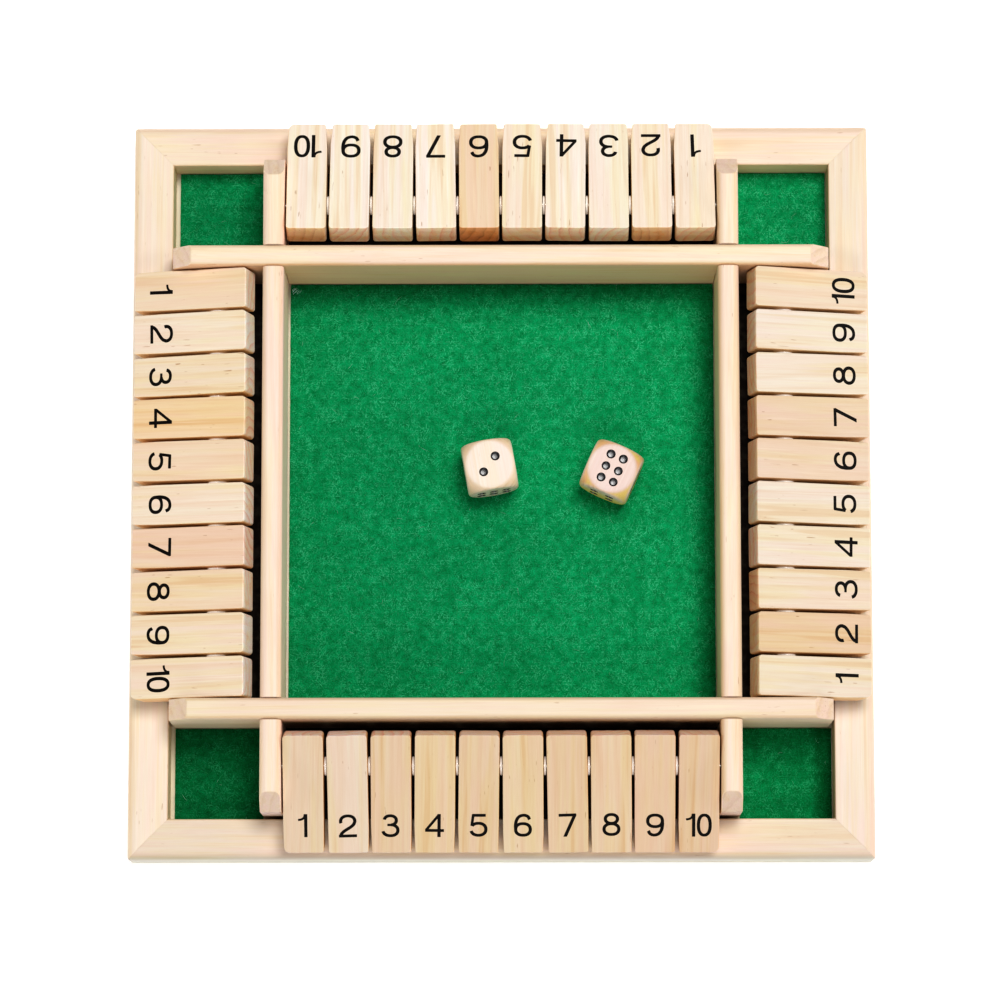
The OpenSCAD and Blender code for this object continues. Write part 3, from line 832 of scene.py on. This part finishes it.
def contours(F, x0, y0, step):
    """Loops of the zero level of F, by marching squares."""
    nx, ny = F.shape
    inside = F < 0
    links = {}

    def cross(i, j, k, l):
        a, b = F[i, j], F[k, l]
        t = a / (a - b)
        return (x0 + (i + (k - i) * t) * step, y0 + (j + (l - j) * t) * step)

    points = {}
    for i in range(nx - 1):
        for j in range(ny - 1):
            c = [(i, j), (i + 1, j), (i + 1, j + 1), (i, j + 1)]
            s = [bool(inside[q]) for q in c]
            if all(s) or not any(s):
                continue
            crossed = []
            for k in range(4):
                a, b = c[k], c[(k + 1) % 4]
                if s[k] != s[(k + 1) % 4]:
                    key = (min(a, b), max(a, b))
                    points[key] = cross(*key[0], *key[1])
                    crossed.append((key, s[k]))
            # A link runs from where the edge walk leaves the inside to where it enters it.
            if len(crossed) == 2:
                pairs = [(crossed[0], crossed[1])]
            else:
                pairs = [(crossed[0], crossed[1]), (crossed[2], crossed[3])]
            for (ka, ina), (kb, _) in pairs:
                if ina:
                    links[ka] = kb
                else:
                    links[kb] = ka
    loops = []
    while links:
        start = next(iter(links))
        loop, k = [], start
        while k in links:
            loop.append(points[k])
            k = links.pop(k)
        if len(loop) > 8:
            loops.append(loop)
    return loops


def thin(loop, tol=0.012):
    """Drops points that hardly bend the loop."""
    pts = [np.array(p) for p in loop]
    keep = []
    i, n = 0, len(pts)
    while i < n:
        keep.append(pts[i])
        j = i + 2
        while j < n and j - i < 14:
            a, b = pts[i], pts[j]
            d = b - a
            L = np.hypot(*d)
            if L < 1e-9:
                break
            if max(abs((p[0] - a[0]) * d[1] - (p[1] - a[1]) * d[0]) / L for p in pts[i + 1:j]) > tol:
                break
            j += 1
        i = j - 1
    return [tuple(p) for p in keep]


GLYPHS = {}


def label_loops(text):
    """The outline loops of a number, and which way each runs."""
    if text in GLYPHS:
        return GLYPHS[text]
    step = 0.07
    if text == "10":
        strokes_a = [([(x - 2.3, y) for x, y in p], a, b, c) for p, a, b, c in glyph("1")]
        strokes_b = [([(x * 0.78 + 1.72, y) for x, y in p], a, b, c) for p, a, b, c in glyph("0")]
        x0, x1 = -4.9, 4.9
        X, Y = np.meshgrid(np.arange(x0, x1, step), np.arange(-0.8, 8.3, step), indexing="ij")
        F = np.minimum(distance_field(strokes_a, X, Y, True), distance_field(strokes_b, X, Y, False))
    else:
        x0, x1 = -3.6, 3.6
        X, Y = np.meshgrid(np.arange(x0, x1, step), np.arange(-0.8, 8.3, step), indexing="ij")
        F = distance_field(glyph(text), X, Y, text in "147")
    GLYPHS[text] = [thin(l) for l in contours(F, x0, -0.8, step)]
    return GLYPHS[text]


def build_digits(name, text, place, lift, depth):
    """A thin printed layer: top, rim and underside. place maps (u, v, height) to local millimetres."""
    loops = label_loops(text)
    verts, faces = [], []
    flat = [[Vector((x, y, 0)) for x, y in l] for l in loops]
    # Outer loops with the holes that lie in them.
    def area(l):
        return 0.5 * sum(l[i - 1][0] * l[i][1] - l[i][0] * l[i - 1][1] for i in range(len(l)))
    def holds(l, p):
        inside = False
        for i in range(len(l)):
            (xa, ya), (xb, yb) = l[i - 1], l[i]
            if (ya > p[1]) != (yb > p[1]) and p[0] < (xb - xa) * (p[1] - ya) / (yb - ya) + xa:
                inside = not inside
        return inside
    depth_of = [sum(holds(o, l[0]) for o in loops if o is not l) for l in loops]
    for i, l in enumerate(loops):
        if depth_of[i] % 2:
            continue
        group = [i] + [k for k in range(len(loops)) if depth_of[k] == depth_of[i] + 1 and holds(l, loops[k][0])]
        order = [p for k in group for p in loops[k]]
        base = len(verts)
        n = len(order)
        verts += [place(x, y, lift) for x, y in order] + [place(x, y, -depth) for x, y in order]
        for a, b, c in tessellate_polygon([flat[k] for k in group]):
            faces.append((base + a, base + b, base + c))
            faces.append((base + n + c, base + n + b, base + n + a))
        at = base
        for k in group:
            m = len(loops[k])
            for q in range(m):
                q2 = (q + 1) % m
                faces.append((at + q, at + q2, n + at + q2, n + at + q))
            at += m
    return verts, faces


# ---------------------------------------------------------------- tiles
TONES = {
    "pale": (1.01, 1.02, 1.05), "cream": (1.0, 1.0, 1.0), "straw": (0.985, 0.96, 0.88),
    "warm": (0.975, 0.93, 0.87), "tan": (0.945, 0.86, 0.76), "rose": (0.96, 0.88, 0.83),
    "oak": (0.93, 0.82, 0.70), "sand": (0.985, 0.965, 0.93), "honey": (0.985, 0.885, 0.74),
}
# End grain tints for each row: end grain is paler and greyer than the faces, and the differences between rows are
# painted light and shade, the front and left rows' ends lighter and greyer, the right and back rows' ends warmer.
ROW_END_TINT_AND_LIGHT = {"front": (1.60, 1.20, 1.38), "right": (1.42, 1.10, 0.92), "back": (1.42, 1.08, 0.92), "left": (1.42, 1.32, 1.50)}
# A few ends took up more or less of the saw's dust and dirt than the others.
DIRTY, LIGHT = (0.86, 0.85, 0.70), (1.08, 1.10, 1.20)
END_SHADE = {("back", 2): DIRTY, ("back", 6): (0.77, 0.66, 0.46), ("back", 10): DIRTY, ("back", 8): LIGHT,
             ("back", 3): LIGHT, ("right", 3): (0.95, 0.86, 0.80), ("right", 2): LIGHT, ("right", 4): (1.1, 1.04, 1.16),
             ("right", 5): (1.1, 1.10, 1.26), ("right", 9): (1.1, 1.02, 1.08), ("right", 10): (1.1, 1.02, 1.08)}
TEXT_SIZE = {"front": 0.955, "right": 1.0, "back": 1.05, "left": 1.0}
ROWS = {
    "front": "sand pale warm straw warm straw warm warm rose rose",
    "right": "sand oak sand cream cream rose rose cream pale warm",
    "back": "sand sand cream pale sand oak pale cream pale cream",
    "left": "warm cream sand honey warm cream rose warm cream cream",
}
# How much further in than usual each row is printed, in millimetres.
NUMBER_AT = {"front": 1.0, "right": 0.4, "back": 0.3, "left": 1.4}
# Painted light: each row of tiles is tinted as the light falls on it, the front row darker and the back row lighter and
# cooler.
ROW_LIGHT_TINT = {"front": (0.875, 0.853, 0.808), "right": (0.915, 0.955, 0.985), "back": (1.02, 1.09, 1.155),
            "left": (0.985, 0.995, 0.985)}
# How far each tile sits off square on its rod, in degrees, because the bores are loose.
LEAN = {
    "front": (0.2, 0.9, 0.2, -0.5, -0.7, 0.1, 0.9, 0.5, -0.1, -0.4),
    "right": (-0.4, 0.1, 0.4, -0.2, -0.5, -0.1, 0.6, 0.5, -0.2, -0.5),
    "back": (0.3, 0.2, 0.0, -0.6, -0.2, 0.5, 0.9, -0.1, -0.3, -0.1),
    "left": (0.0, 0.2, 0.5, -0.3, -0.5, -0.2, 0.1, 0.1, 0.0, 0.3),
}


def build_tile(side, n, seed):
    rng = random.Random(seed)
    hw, hl = TILE_W / 2 + 0.06, ARM
    inner = TILE_L - ARM
    nip = rng.uniform(0.35, 0.65) if side == "back" else rng.uniform(0.05, 0.3)
    nip2 = rng.uniform(0.35, 0.65) if side == "back" else rng.uniform(0.05, 0.3)
    run = rng.uniform(6.5, 9.0)
    ri, rn = rng.uniform(0.75, 1.2), rng.uniform(0.5, 0.85)
    wane = [rng.uniform(-0.07, 0.05) for _ in range(4)]
    radii = [4.5, ri, ri, 4.5, 1.8 if n == 1 else rn, 1.8 if n == 10 else rn]
    pts, nor = rounded([(hw, -hl + run), (hw + wane[0] * 0.5, inner + wane[1]), (-hw - wane[2] * 0.5, inner + wane[3]),
                        (-hw, -hl + run), (-hw + nip, -hl), (hw - nip2, -hl)], radii, 7)
    per = len(pts) // 6
    # Extra points along both long sides, with the square patch that the bore goes through.
    marks = [-16, -12, -8, -5, -2.6, -1.2, -0.6, 0.0, 0.6, 1.2, 2.6, 5, 7.5]
    out, outn, room = [], [], []
    for i in range(len(pts)):
        a, b = pts[i], pts[(i + 1) % len(pts)]
        out.append(a)
        outn.append(nor[i])
        room.append(0.85 * radii[i // per])  # an edge round never runs past a corner's own centre
        if abs(b[1] - a[1]) > 8 and abs(a[0] - b[0]) < 0.3:
            up = b[1] > a[1]
            for y in (marks if up else marks[::-1]):
                if min(a[1], b[1]) + 0.3 < y < max(a[1], b[1]) - 0.3:
                    t = (y - a[1]) / (b[1] - a[1])
                    out.append(a + (b - a) * t)
                    outn.append(np.array([math.copysign(1.0, a[0]), 0.0]))
                    room.append(9.0)
    out, outn = np.array(out), np.array(outn)
    rb, rt = rng.uniform(0.7, 1.0), rng.uniform(0.28, 0.42)
    hz = TILE_T / 2
    levels = []
    for k in range(6):
        a = math.radians(-90 + 90 * k / 5)
        levels.append((-hz + rb * (1 + math.sin(a)), rb * (1 - math.cos(a))))
    levels += [(z, 0.0) for z in (-1.2, -0.6, 0.0, 0.6, 1.2)]
    for k in range(6):
        a = math.radians(90 * k / 5)
        levels.append((hz - rt * (1 - math.sin(a)), rt * (1 - math.cos(a))))
    m = len(out)
    verts, faces = [], []
    for z, ins in levels:
        for (x, y), (nx, ny), most in zip(out, outn, room):
            w = 0.03 * soft_noise((x, y, z), 5.0, seed * 0.37)
            k = min(ins, most) + abs(w)
            verts.append((x - nx * k, y - ny * k, z))
    nl = len(levels)
    z_ids = [i for i, (z, ins) in enumerate(levels) if ins == 0.0 and abs(z) < 1.25]
    ring_pairs = []
    skip = set()
    for sgn in (1, -1):
        ids = [i for i in range(m) if out[i][0] * sgn > 5 and abs(out[i][1]) < 1.25]
        ids.sort(key=lambda i: out[i][1])
        if len(ids) != 5 or len(z_ids) != 5:
            raise RuntimeError("bore patch")
        loop = [(0, k) for k in range(4)] + [(k, 4) for k in range(4)] + [(4, 4 - k) for k in range(4)] + [(4 - k, 0) for k in range(4)]
        edge = [z_ids[a] * m + ids[b] for a, b in loop]
        circ = []
        r = ROD_D / 2 + 0.08
        for v in edge:
            x, y, z = verts[v]
            q = math.atan2(z, y)
            circ.append(len(verts))
            verts.append((x, r * math.cos(q), r * math.sin(q)))
        for k in range(16):
            k2 = (k + 1) % 16
            faces.append((edge[k], edge[k2], circ[k2], circ[k]))
        ring_pairs.append(circ)
        for a in range(4):
            for b in range(4):
                skip.add((z_ids[a], min(ids[b], ids[b + 1]) if abs(ids[b] - ids[b + 1]) == 1 else -1))
    for k in range(16):
        k2 = (k + 1) % 16
        faces.append((ring_pairs[0][k], ring_pairs[0][k2], ring_pairs[1][k2], ring_pairs[1][k]))
    for i in range(nl - 1):
        for j in range(m):
            if (i, j) in skip:
                continue
            k = (j + 1) % m
            faces.append((i * m + j, i * m + k, (i + 1) * m + k, (i + 1) * m + j))
    faces.append(tuple(range(m)))
    faces.append(tuple((nl - 1) * m + j for j in range(m)))
    yaw = LEAN[side][n - 1] + rng.uniform(-0.08, 0.08)
    slip = rng.uniform(-0.05, 0.05)
    rot = turn_z(SIDES[side]) @ turn_x(TILT) @ turn_z(yaw)
    shift = turn_z(SIDES[side]) @ np.array([(n - 5.5) * PITCH + slip, -ROD_R, ROD_Z])
    name = f"{side}_tile_{n}"
    ob = new_object(f"tile_{side}_{n}", verts, faces, rot, shift)
    settle(ob, 40)
    tone = np.array(TONES[ROWS[side].split()[n - 1]]) * np.array(ROW_LIGHT_TINT[side]) * rng.uniform(0.985, 1.01)
    # Painted shade and orange bounce light on one long side of each tile, through the flank tint.
    grain(ob, rot, shift, seed, tuple(tone), pith=rng.uniform(9, 34),
          end=tuple(np.array(ROW_END_TINT_AND_LIGHT[side]) * np.array(END_SHADE.get((side, n), (1.0, 1.0, 1.0)))), flank=(1.10, 0.90, 0.66),
          facing=(-1, 0, 0) if side == "right" else (1, 0, 0))
    dress(ob, tile_wood, name, "tile_wood", name)

    du, dv, spin = rng.uniform(-0.25, 0.25), rng.uniform(-0.2, 0.2), math.radians(rng.uniform(-1.0, 1.0))

    def place(u, v, h):
        u, v = u * TEXT_SIZE[side], 3.75 + (v - 3.75) * TEXT_SIZE[side]
        u2 = u * math.cos(spin) - (v - 3.75) * math.sin(spin)
        v2 = u * math.sin(spin) + (v - 3.75) * math.cos(spin)
        return (u2 + du, -ARM + 7.6 + NUMBER_AT[side] + v2 + dv, hz + h)

    v, f = build_digits(name, str(n), place, 0.03, 0.03)
    num = new_object(f"number_{side}_{n}", v, f, rot, shift)
    for p in num.data.polygons:
        p.use_smooth = False
    grain(num, rot, shift, seed)
    dress(num, ink, name, "number_ink")


seed = 100
for side in SIDES:
    for n in range(1, 11):
        seed += 1
        build_tile(side, n, seed)


# ---------------------------------------------------------------- felt
def build_felt(name, x0, x1, y0, y1, seed, *nodes):
    """A felt sheet 1 mm thick: an uneven, softly pressed top and slightly wavering cut edges."""
    step = 0.9
    nx, ny = max(8, round((x1 - x0) / step)), max(8, round((y1 - y0) / step))
    top, bot, faces = [], [], []
    for i in range(nx + 1):
        for j in range(ny + 1):
            x, y = x0 + (x1 - x0) * i / nx, y0 + (y1 - y0) * j / ny
            edge = min(x - x0, x1 - x, y - y0, y1 - y)
            px, py = x, y
            if edge < 0.1:
                w = 0.05 + 0.10 * abs(soft_noise((x, y, 0), 2.3, seed))
                px += w * (1 if x - x0 < 0.1 else -1 if x1 - x < 0.1 else 0)
                py += w * (1 if y - y0 < 0.1 else -1 if y1 - y < 0.1 else 0)
            z = 3.93 + 0.06 * soft_noise((x, y, 3), 9.0, seed) + 0.07 * soft_noise((x, y, 7), 1.9, seed)
            z -= 0.28 * max(0.0, 1 - edge / 0.95) ** 2
            top.append((px, py, z))
            bot.append((px, py, BASE_T + 0.005))
    m = ny + 1
    n = len(top)
    for i in range(nx):
        for j in range(ny):
            a = i * m + j
            faces.append((a, a + m, a + m + 1, a + 1))
            faces.append((n + a, n + a + 1, n + a + m + 1, n + a + m))
    rim = ([(i * m, (i + 1) * m) for i in range(nx)] + [(nx * m + j, nx * m + j + 1) for j in range(ny)]
           + [((i + 1) * m + ny, i * m + ny) for i in range(nx)] + [(j + 1, j) for j in range(ny)])
    for a, b in rim:
        faces.append((a, n + a, n + b, b))
    ob = new_object(name, top + bot, faces)
    settle(ob, 50)
    dress(ob, felt_green, "tray", "green_felt", *nodes)
    return ob


FW = 67.3
build_felt("felt_field", -FW + 0.45, FW, -FW, FW, 1.3, "field_felt")
LO, HI = DIV_OUT + 0.2, INNER - 0.2
build_felt("felt_pocket_front_left", -HI + 1.1, -LO, -HI, -LO, 2.1, "pocket_felts")
build_felt("felt_pocket_front_right", LO, HI, -HI, -LO, 3.7)
build_felt("felt_pocket_back_left", -HI + 1.1, -LO, LO, HI, 4.9)
build_felt("felt_pocket_back_right", LO, HI, LO, HI, 5.3)


def build_lint():
    """Loose fibres on the felt, mostly pale green with some off-white ones."""
    rng = random.Random(77)
    verts, faces, tones = [], [], []
    areas = [(-FW, FW, -FW, FW, 420), (-HI + 1.1, -LO, -HI, -LO, 26), (LO, HI, -HI, -LO, 26),
             (-HI + 1.1, -LO, LO, HI, 26), (LO, HI, LO, HI, 40)]
    for x0, x1, y0, y1, count in areas:
        for _ in range(count):
            length = rng.uniform(0.9, 2.6) if rng.random() < 0.9 else rng.uniform(2.6, 4.2)
            m = length / 2 + 0.4
            x, y = rng.uniform(x0 + m, x1 - m), rng.uniform(y0 + m, y1 - m)
            a, bend = rng.uniform(0, 2 * math.pi), rng.uniform(-0.9, 0.9)
            white = rng.random() < 0.14
            r = rng.uniform(0.022, 0.04)
            k = 6
            p = np.array([x, y])
            path = []
            for i in range(k + 1):
                t = i / k - 0.5
                ang = a + bend * t * 2
                if i:
                    p = p + length / k * np.array([math.cos(ang), math.sin(ang)])
                path.append((p[0], p[1], 4.02 + 0.16 * math.exp(-(t * 3) ** 2) * rng.uniform(0.3, 1.0), ang))
            base = len(verts)
            for i, (px, py, pz, ang) in enumerate(path):
                rr = r * (0.45 + 0.55 * math.sin(math.pi * (i + 0.6) / (k + 1.2)))
                for q in range(3):
                    b = 2 * math.pi * q / 3 + 0.5
                    side = rr * math.cos(b)
                    verts.append((px - math.sin(ang) * side, py + math.cos(ang) * side, pz + rr * math.sin(b)))
                    c = (0.42, 0.66, 0.56) if white else (0.05, 0.38, 0.15)
                    s = 0.75 + 0.5 * rng.random()
                    tones.append((c[0] * s, c[1] * s, c[2] * s, 1.0))
            for i in range(k):
                for q in range(3):
                    q2 = (q + 1) % 3
                    faces.append((base + i * 3 + q, base + i * 3 + q2, base + (i + 1) * 3 + q2, base + (i + 1) * 3 + q))
            faces.append((base, base + 1, base + 2))
            faces.append((base + k * 3, base + k * 3 + 1, base + k * 3 + 2))
    for _ in range(9):
        a = rng.uniform(0.7, 1.5)
        x, y = -66.3 + rng.uniform(0.0, 1.6), 63.9 + rng.uniform(0.0, 1.3)
        length, r = rng.uniform(1.2, 2.2), rng.uniform(0.05, 0.08)
        base = len(verts)
        for i in range(7):
            d = length * i / 6
            ang = a + 0.25 * math.sin(i)
            for q in range(3):
                b = 2 * math.pi * q / 3
                verts.append((x + math.cos(ang) * d - math.sin(ang) * r * math.cos(b),
                              y + math.sin(ang) * d + math.cos(ang) * r * math.cos(b),
                              4.08 + 0.3 * math.sin(math.pi * i / 6) + r * math.sin(b)))
                tones.append((0.68, 0.98, 0.98, 1.0))
        for i in range(6):
            for q in range(3):
                q2 = (q + 1) % 3
                faces.append((base + i * 3 + q, base + i * 3 + q2, base + (i + 1) * 3 + q2, base + (i + 1) * 3 + q))
        faces.append((base, base + 1, base + 2))
        faces.append((base + 18, base + 19, base + 20))
    ob = new_object("felt_lint", verts, faces)
    at = ob.data.attributes.new("tone", "FLOAT_COLOR", "POINT")
    at.data.foreach_set("color", np.array(tones, np.float32).ravel())
    for p in ob.data.polygons:
        p.use_smooth = True
    return dress(ob, lint_mat, "tray", "green_felt")


build_lint()


# ---------------------------------------------------------------- dice
DIE, BALL, PIP_R, PIP_H = 16.0, 10.85, 1.42, 0.62


def pips(n):
    s = {1: [(0, 0)], 2: [(-2.2, -2.2), (2.2, 2.2)], 3: [(-3.2, -3.2), (0, 0), (3.2, 3.2)],
         4: [(-2.6, -2.6), (2.6, -2.6), (-2.6, 2.6), (2.6, 2.6)],
         5: [(-3.2, -3.2), (3.2, -3.2), (0, 0), (-3.2, 3.2), (3.2, 3.2)]}
    return s[n] if n in s else [(x, y) for x in (-2.1, 2.1) for y in (-3.95, 0, 3.95)]


def build_die(name, node, centre, spin, values, seed, wood_mat):
    h, n = DIE / 2, 44
    # A cube's surface, each point slid along its ray onto the blend of six flats and a ball.
    verts, index, faces = [], {}, []

    def surface(d):
        d = d / np.linalg.norm(d)
        lo, hi = 6.0, 12.0
        k = 0.16
        for _ in range(26):
            r = (lo + hi) / 2
            p = np.abs(d) * r
            v = np.array([p[0] - h, p[1] - h, p[2] - h, (r - BALL) * 0.95])
            m = v.max()
            f = m + k * math.log(np.exp((v - m) / k).sum())
            lo, hi = (r, hi) if f < 0 else (lo, r)
        return d * lo

    def vert(a, b, c):
        key = (a, b, c)
        if key not in index:
            index[key] = len(verts)
            q = [math.sin((x / n - 0.5) * math.pi * 0.5) / math.sin(math.pi * 0.25) for x in (a, b, c)]
            verts.append(surface(np.array(q)))
        return index[key]

    for ax in range(3):
        for end in (0, n):
            for i in range(n):
                for j in range(n):
                    quad = []
                    for di, dj in ((0, 0), (1, 0), (1, 1), (0, 1)):
                        c = [0, 0, 0]
                        c[ax], c[(ax + 1) % 3], c[(ax + 2) % 3] = end, i + di, j + dj
                        quad.append(vert(*c))
                    faces.append(tuple(quad))
    rot, shift = turn_z(spin), centre
    ob = new_object(name, verts, faces, rot, shift)
    ob.data.materials.append(wood_mat)
    # Pips: one cutter for each, on the faces top, bottom, front, back, left, right.
    turns = [np.eye(3), turn_x(180), turn_x(90) @ turn_z(90), turn_x(-90),
             np.array([[0, 0, -1.0], [0, 1, 0], [1, 0, 0]]), np.array([[0, 0, 1.0], [0, 1, 0], [-1, 0, 0]])]
    # A pip is a drilled recess whose paint has pooled: steep sides and a shallow bowl for a floor.
    prof = [(0.0, -PIP_H), (0.3, -PIP_H + 0.005), (0.6, -PIP_H + 0.02), (0.85, -PIP_H + 0.045), (1.02, -PIP_H + 0.08),
            (1.14, -PIP_H + 0.14), (1.24, -PIP_H + 0.25), (1.32, -PIP_H + 0.40), (1.385, -0.06), (PIP_R, 0.02),
            (PIP_R + 0.25, 0.35), (0.0, 0.6)]
    cv, cf = [], []
    rng = random.Random(seed)
    for value, T in zip(values, turns):
        for x, y in pips(value):
            c = np.array([x + rng.uniform(-.07, .07), y + rng.uniform(-.07, .07), h])
            k = rng.uniform(0.96, 1.03)
            base, nu, nv = len(cv), 32, len(prof)
            cv.append(T @ (c + np.array([0, 0, prof[0][1]])))
            for r, z in prof[1:-1]:
                for b in range(nu):
                    ph = 2 * math.pi * b / nu
                    cv.append(T @ (c + np.array([k * r * math.cos(ph), k * r * math.sin(ph), z])))
            cv.append(T @ (c + np.array([0, 0, prof[-1][1]])))
            top = len(cv) - 1
            for b in range(nu):
                b2 = (b + 1) % nu
                cf.append((base, base + 1 + b, base + 1 + b2))
                cf.append((top, base + 1 + (nv - 3) * nu + b2, base + 1 + (nv - 3) * nu + b))
                for a in range(nv - 3):
                    q = base + 1 + a * nu
                    cf.append((q + b, q + b2, q + nu + b2, q + nu + b))
    boolean(ob, cv, cf, rot, shift, pip_black)
    settle(ob, 42)
    grain(ob, rot, shift, seed, pith=14, end=(0.98, 0.97, 0.96))
    # Wear and staining gather on the corners and edges, outside the round flats; the same rim mask carries painted
    # light that lightens these edges.
    me = ob.data
    co = np.empty(len(me.vertices) * 3, np.float32)
    me.vertices.foreach_get("co", co)
    p = np.sort(np.abs((co.reshape(-1, 3) / MM - np.asarray(shift)) @ np.asarray(rot)), 1)
    out = np.clip((np.hypot(p[:, 0], p[:, 1]) - 7.1) / 1.5, 0, 1)
    out = 0.35 * (np.hypot(p[:, 0], p[:, 1]) > 7.35) + 0.65 * out * out * (3 - 2 * out)
    ring = np.empty(len(me.loops), np.int32)
    me.loops.foreach_get("vertex_index", ring)
    me.attributes["rim"].data.foreach_set("value", out[ring].astype(np.float32))
    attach(ob, node)
    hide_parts(node)
    return ob


die_z = 4.02 + DIE / 2
build_die("die_left", "left_die", (-3.6, 7.0, die_z), 10, (2, 5, 6, 1, 4, 3), 301, die_wood_a)
build_die("die_right", "right_die", (34.7, 5.6, die_z), -24, (6, 1, 4, 3, 2, 5), 302, die_wood_b)

# ---------------------------------------------------------------- floor, light, camera
floor = new_object("floor", [(-3000, -3000, 0), (3000, -3000, 0), (3000, 3000, 0), (-3000, 3000, 0)], [(0, 1, 2, 3)])
ft = Tree("floor_paper")
fc = ft.ramp(ft.noise(ft.scale3(ft.add("ShaderNodeTexCoord", (), "Object"), 3.0), 1.0, 2),
             [(0.3, (0.90, 0.90, 0.90)), (0.7, (0.92, 0.92, 0.92))])
ft.shade(fc, 0.9, Emission_Color=(1.0, 1.0, 1.0, 1.0), Emission_Strength=0.32, Specular_IOR_Level=0.1)
floor.data.materials.append(ft.mat)


def area_light(name, aim, toward, dist, size, power, colour):
    """A soft box that stands dist away in the direction toward and faces aim."""
    d = Vector(toward).normalized()
    li = bpy.data.lights.new(name, "AREA")
    li.shape, li.size, li.size_y, li.energy, li.color = "RECTANGLE", size[0], size[1], power, colour
    ob = bpy.data.objects.new(name, li)
    ob.location = Vector(aim) + d * dist
    ob.rotation_euler = d.to_track_quat("Z", "Y").to_euler()
    ob.visible_camera = False
    scene.collection.objects.link(ob)
    return ob


def lean(x, y):
    """The direction x degrees right and y degrees back of overhead."""
    return (math.tan(math.radians(x)), math.tan(math.radians(y)), 1.0)


area_light("key", (0, 0, 0.02), lean(10, 16), 2.6, (1.09, 1.09), 36.4, (1.0, 0.99, 0.975))
area_light("fill_front", (0, 0, 0.02), (0.0, -1.0, 0.40), 2.2, (1.7, 0.5), 5.8, (0.90, 0.96, 1.0))
area_light("fill_high", (0, 0, 0.02), (0.0, -1.0, 1.3), 2.5, (1.2, 0.6), 7.0, (1.0, 0.985, 0.96))
area_light("fill_left", (0, 0, 0.02), (-1.0, -0.1, 0.25), 1.5, (1.2, 0.35), 3.5, (1.0, 0.99, 0.98))
area_light("fill_right", (0, 0, 0.02), (1.0, 0.0, 0.27), 1.5, (1.2, 0.35), 3.8, (1.0, 0.99, 0.98))

world = bpy.data.worlds.new("studio")
world.use_nodes = True
bg = world.node_tree.nodes.get("Background") or world.node_tree.nodes.new("ShaderNodeBackground")
bg.inputs["Color"].default_value = (0.97, 0.985, 1.0, 1.0)
bg.inputs["Strength"].default_value = 0.14
scene.world = world

cam = bpy.data.cameras.new("camera")
cam.sensor_width, cam.sensor_fit = 36.0, "HORIZONTAL"
cam.lens = 160.9
cam.clip_start, cam.clip_end = 0.05, 20.0
cam_ob = bpy.data.objects.new("camera", cam)
pitch, yaw, roll = math.radians(8.35), math.radians(-0.29), math.radians(0.09)
to_cam = (np.array([[math.cos(roll), -math.sin(roll), 0], [math.sin(roll), math.cos(roll), 0], [0, 0, 1]])
          @ np.array([[math.cos(yaw), 0, math.sin(yaw)], [0, 1, 0], [-math.sin(yaw), 0, math.cos(yaw)]])
          @ np.array([[1, 0, 0], [0, math.cos(pitch), math.sin(pitch)], [0, -math.sin(pitch), math.cos(pitch)]]))
cam_ob.matrix_world = Matrix.Translation((0.0069, -0.2071, 1.400)) @ Matrix(to_cam.T.tolist()).to_4x4()
scene.collection.objects.link(cam_ob)
scene.camera = cam_ob

scene.view_settings.view_transform = "Standard"
scene.view_settings.look = "High Contrast"
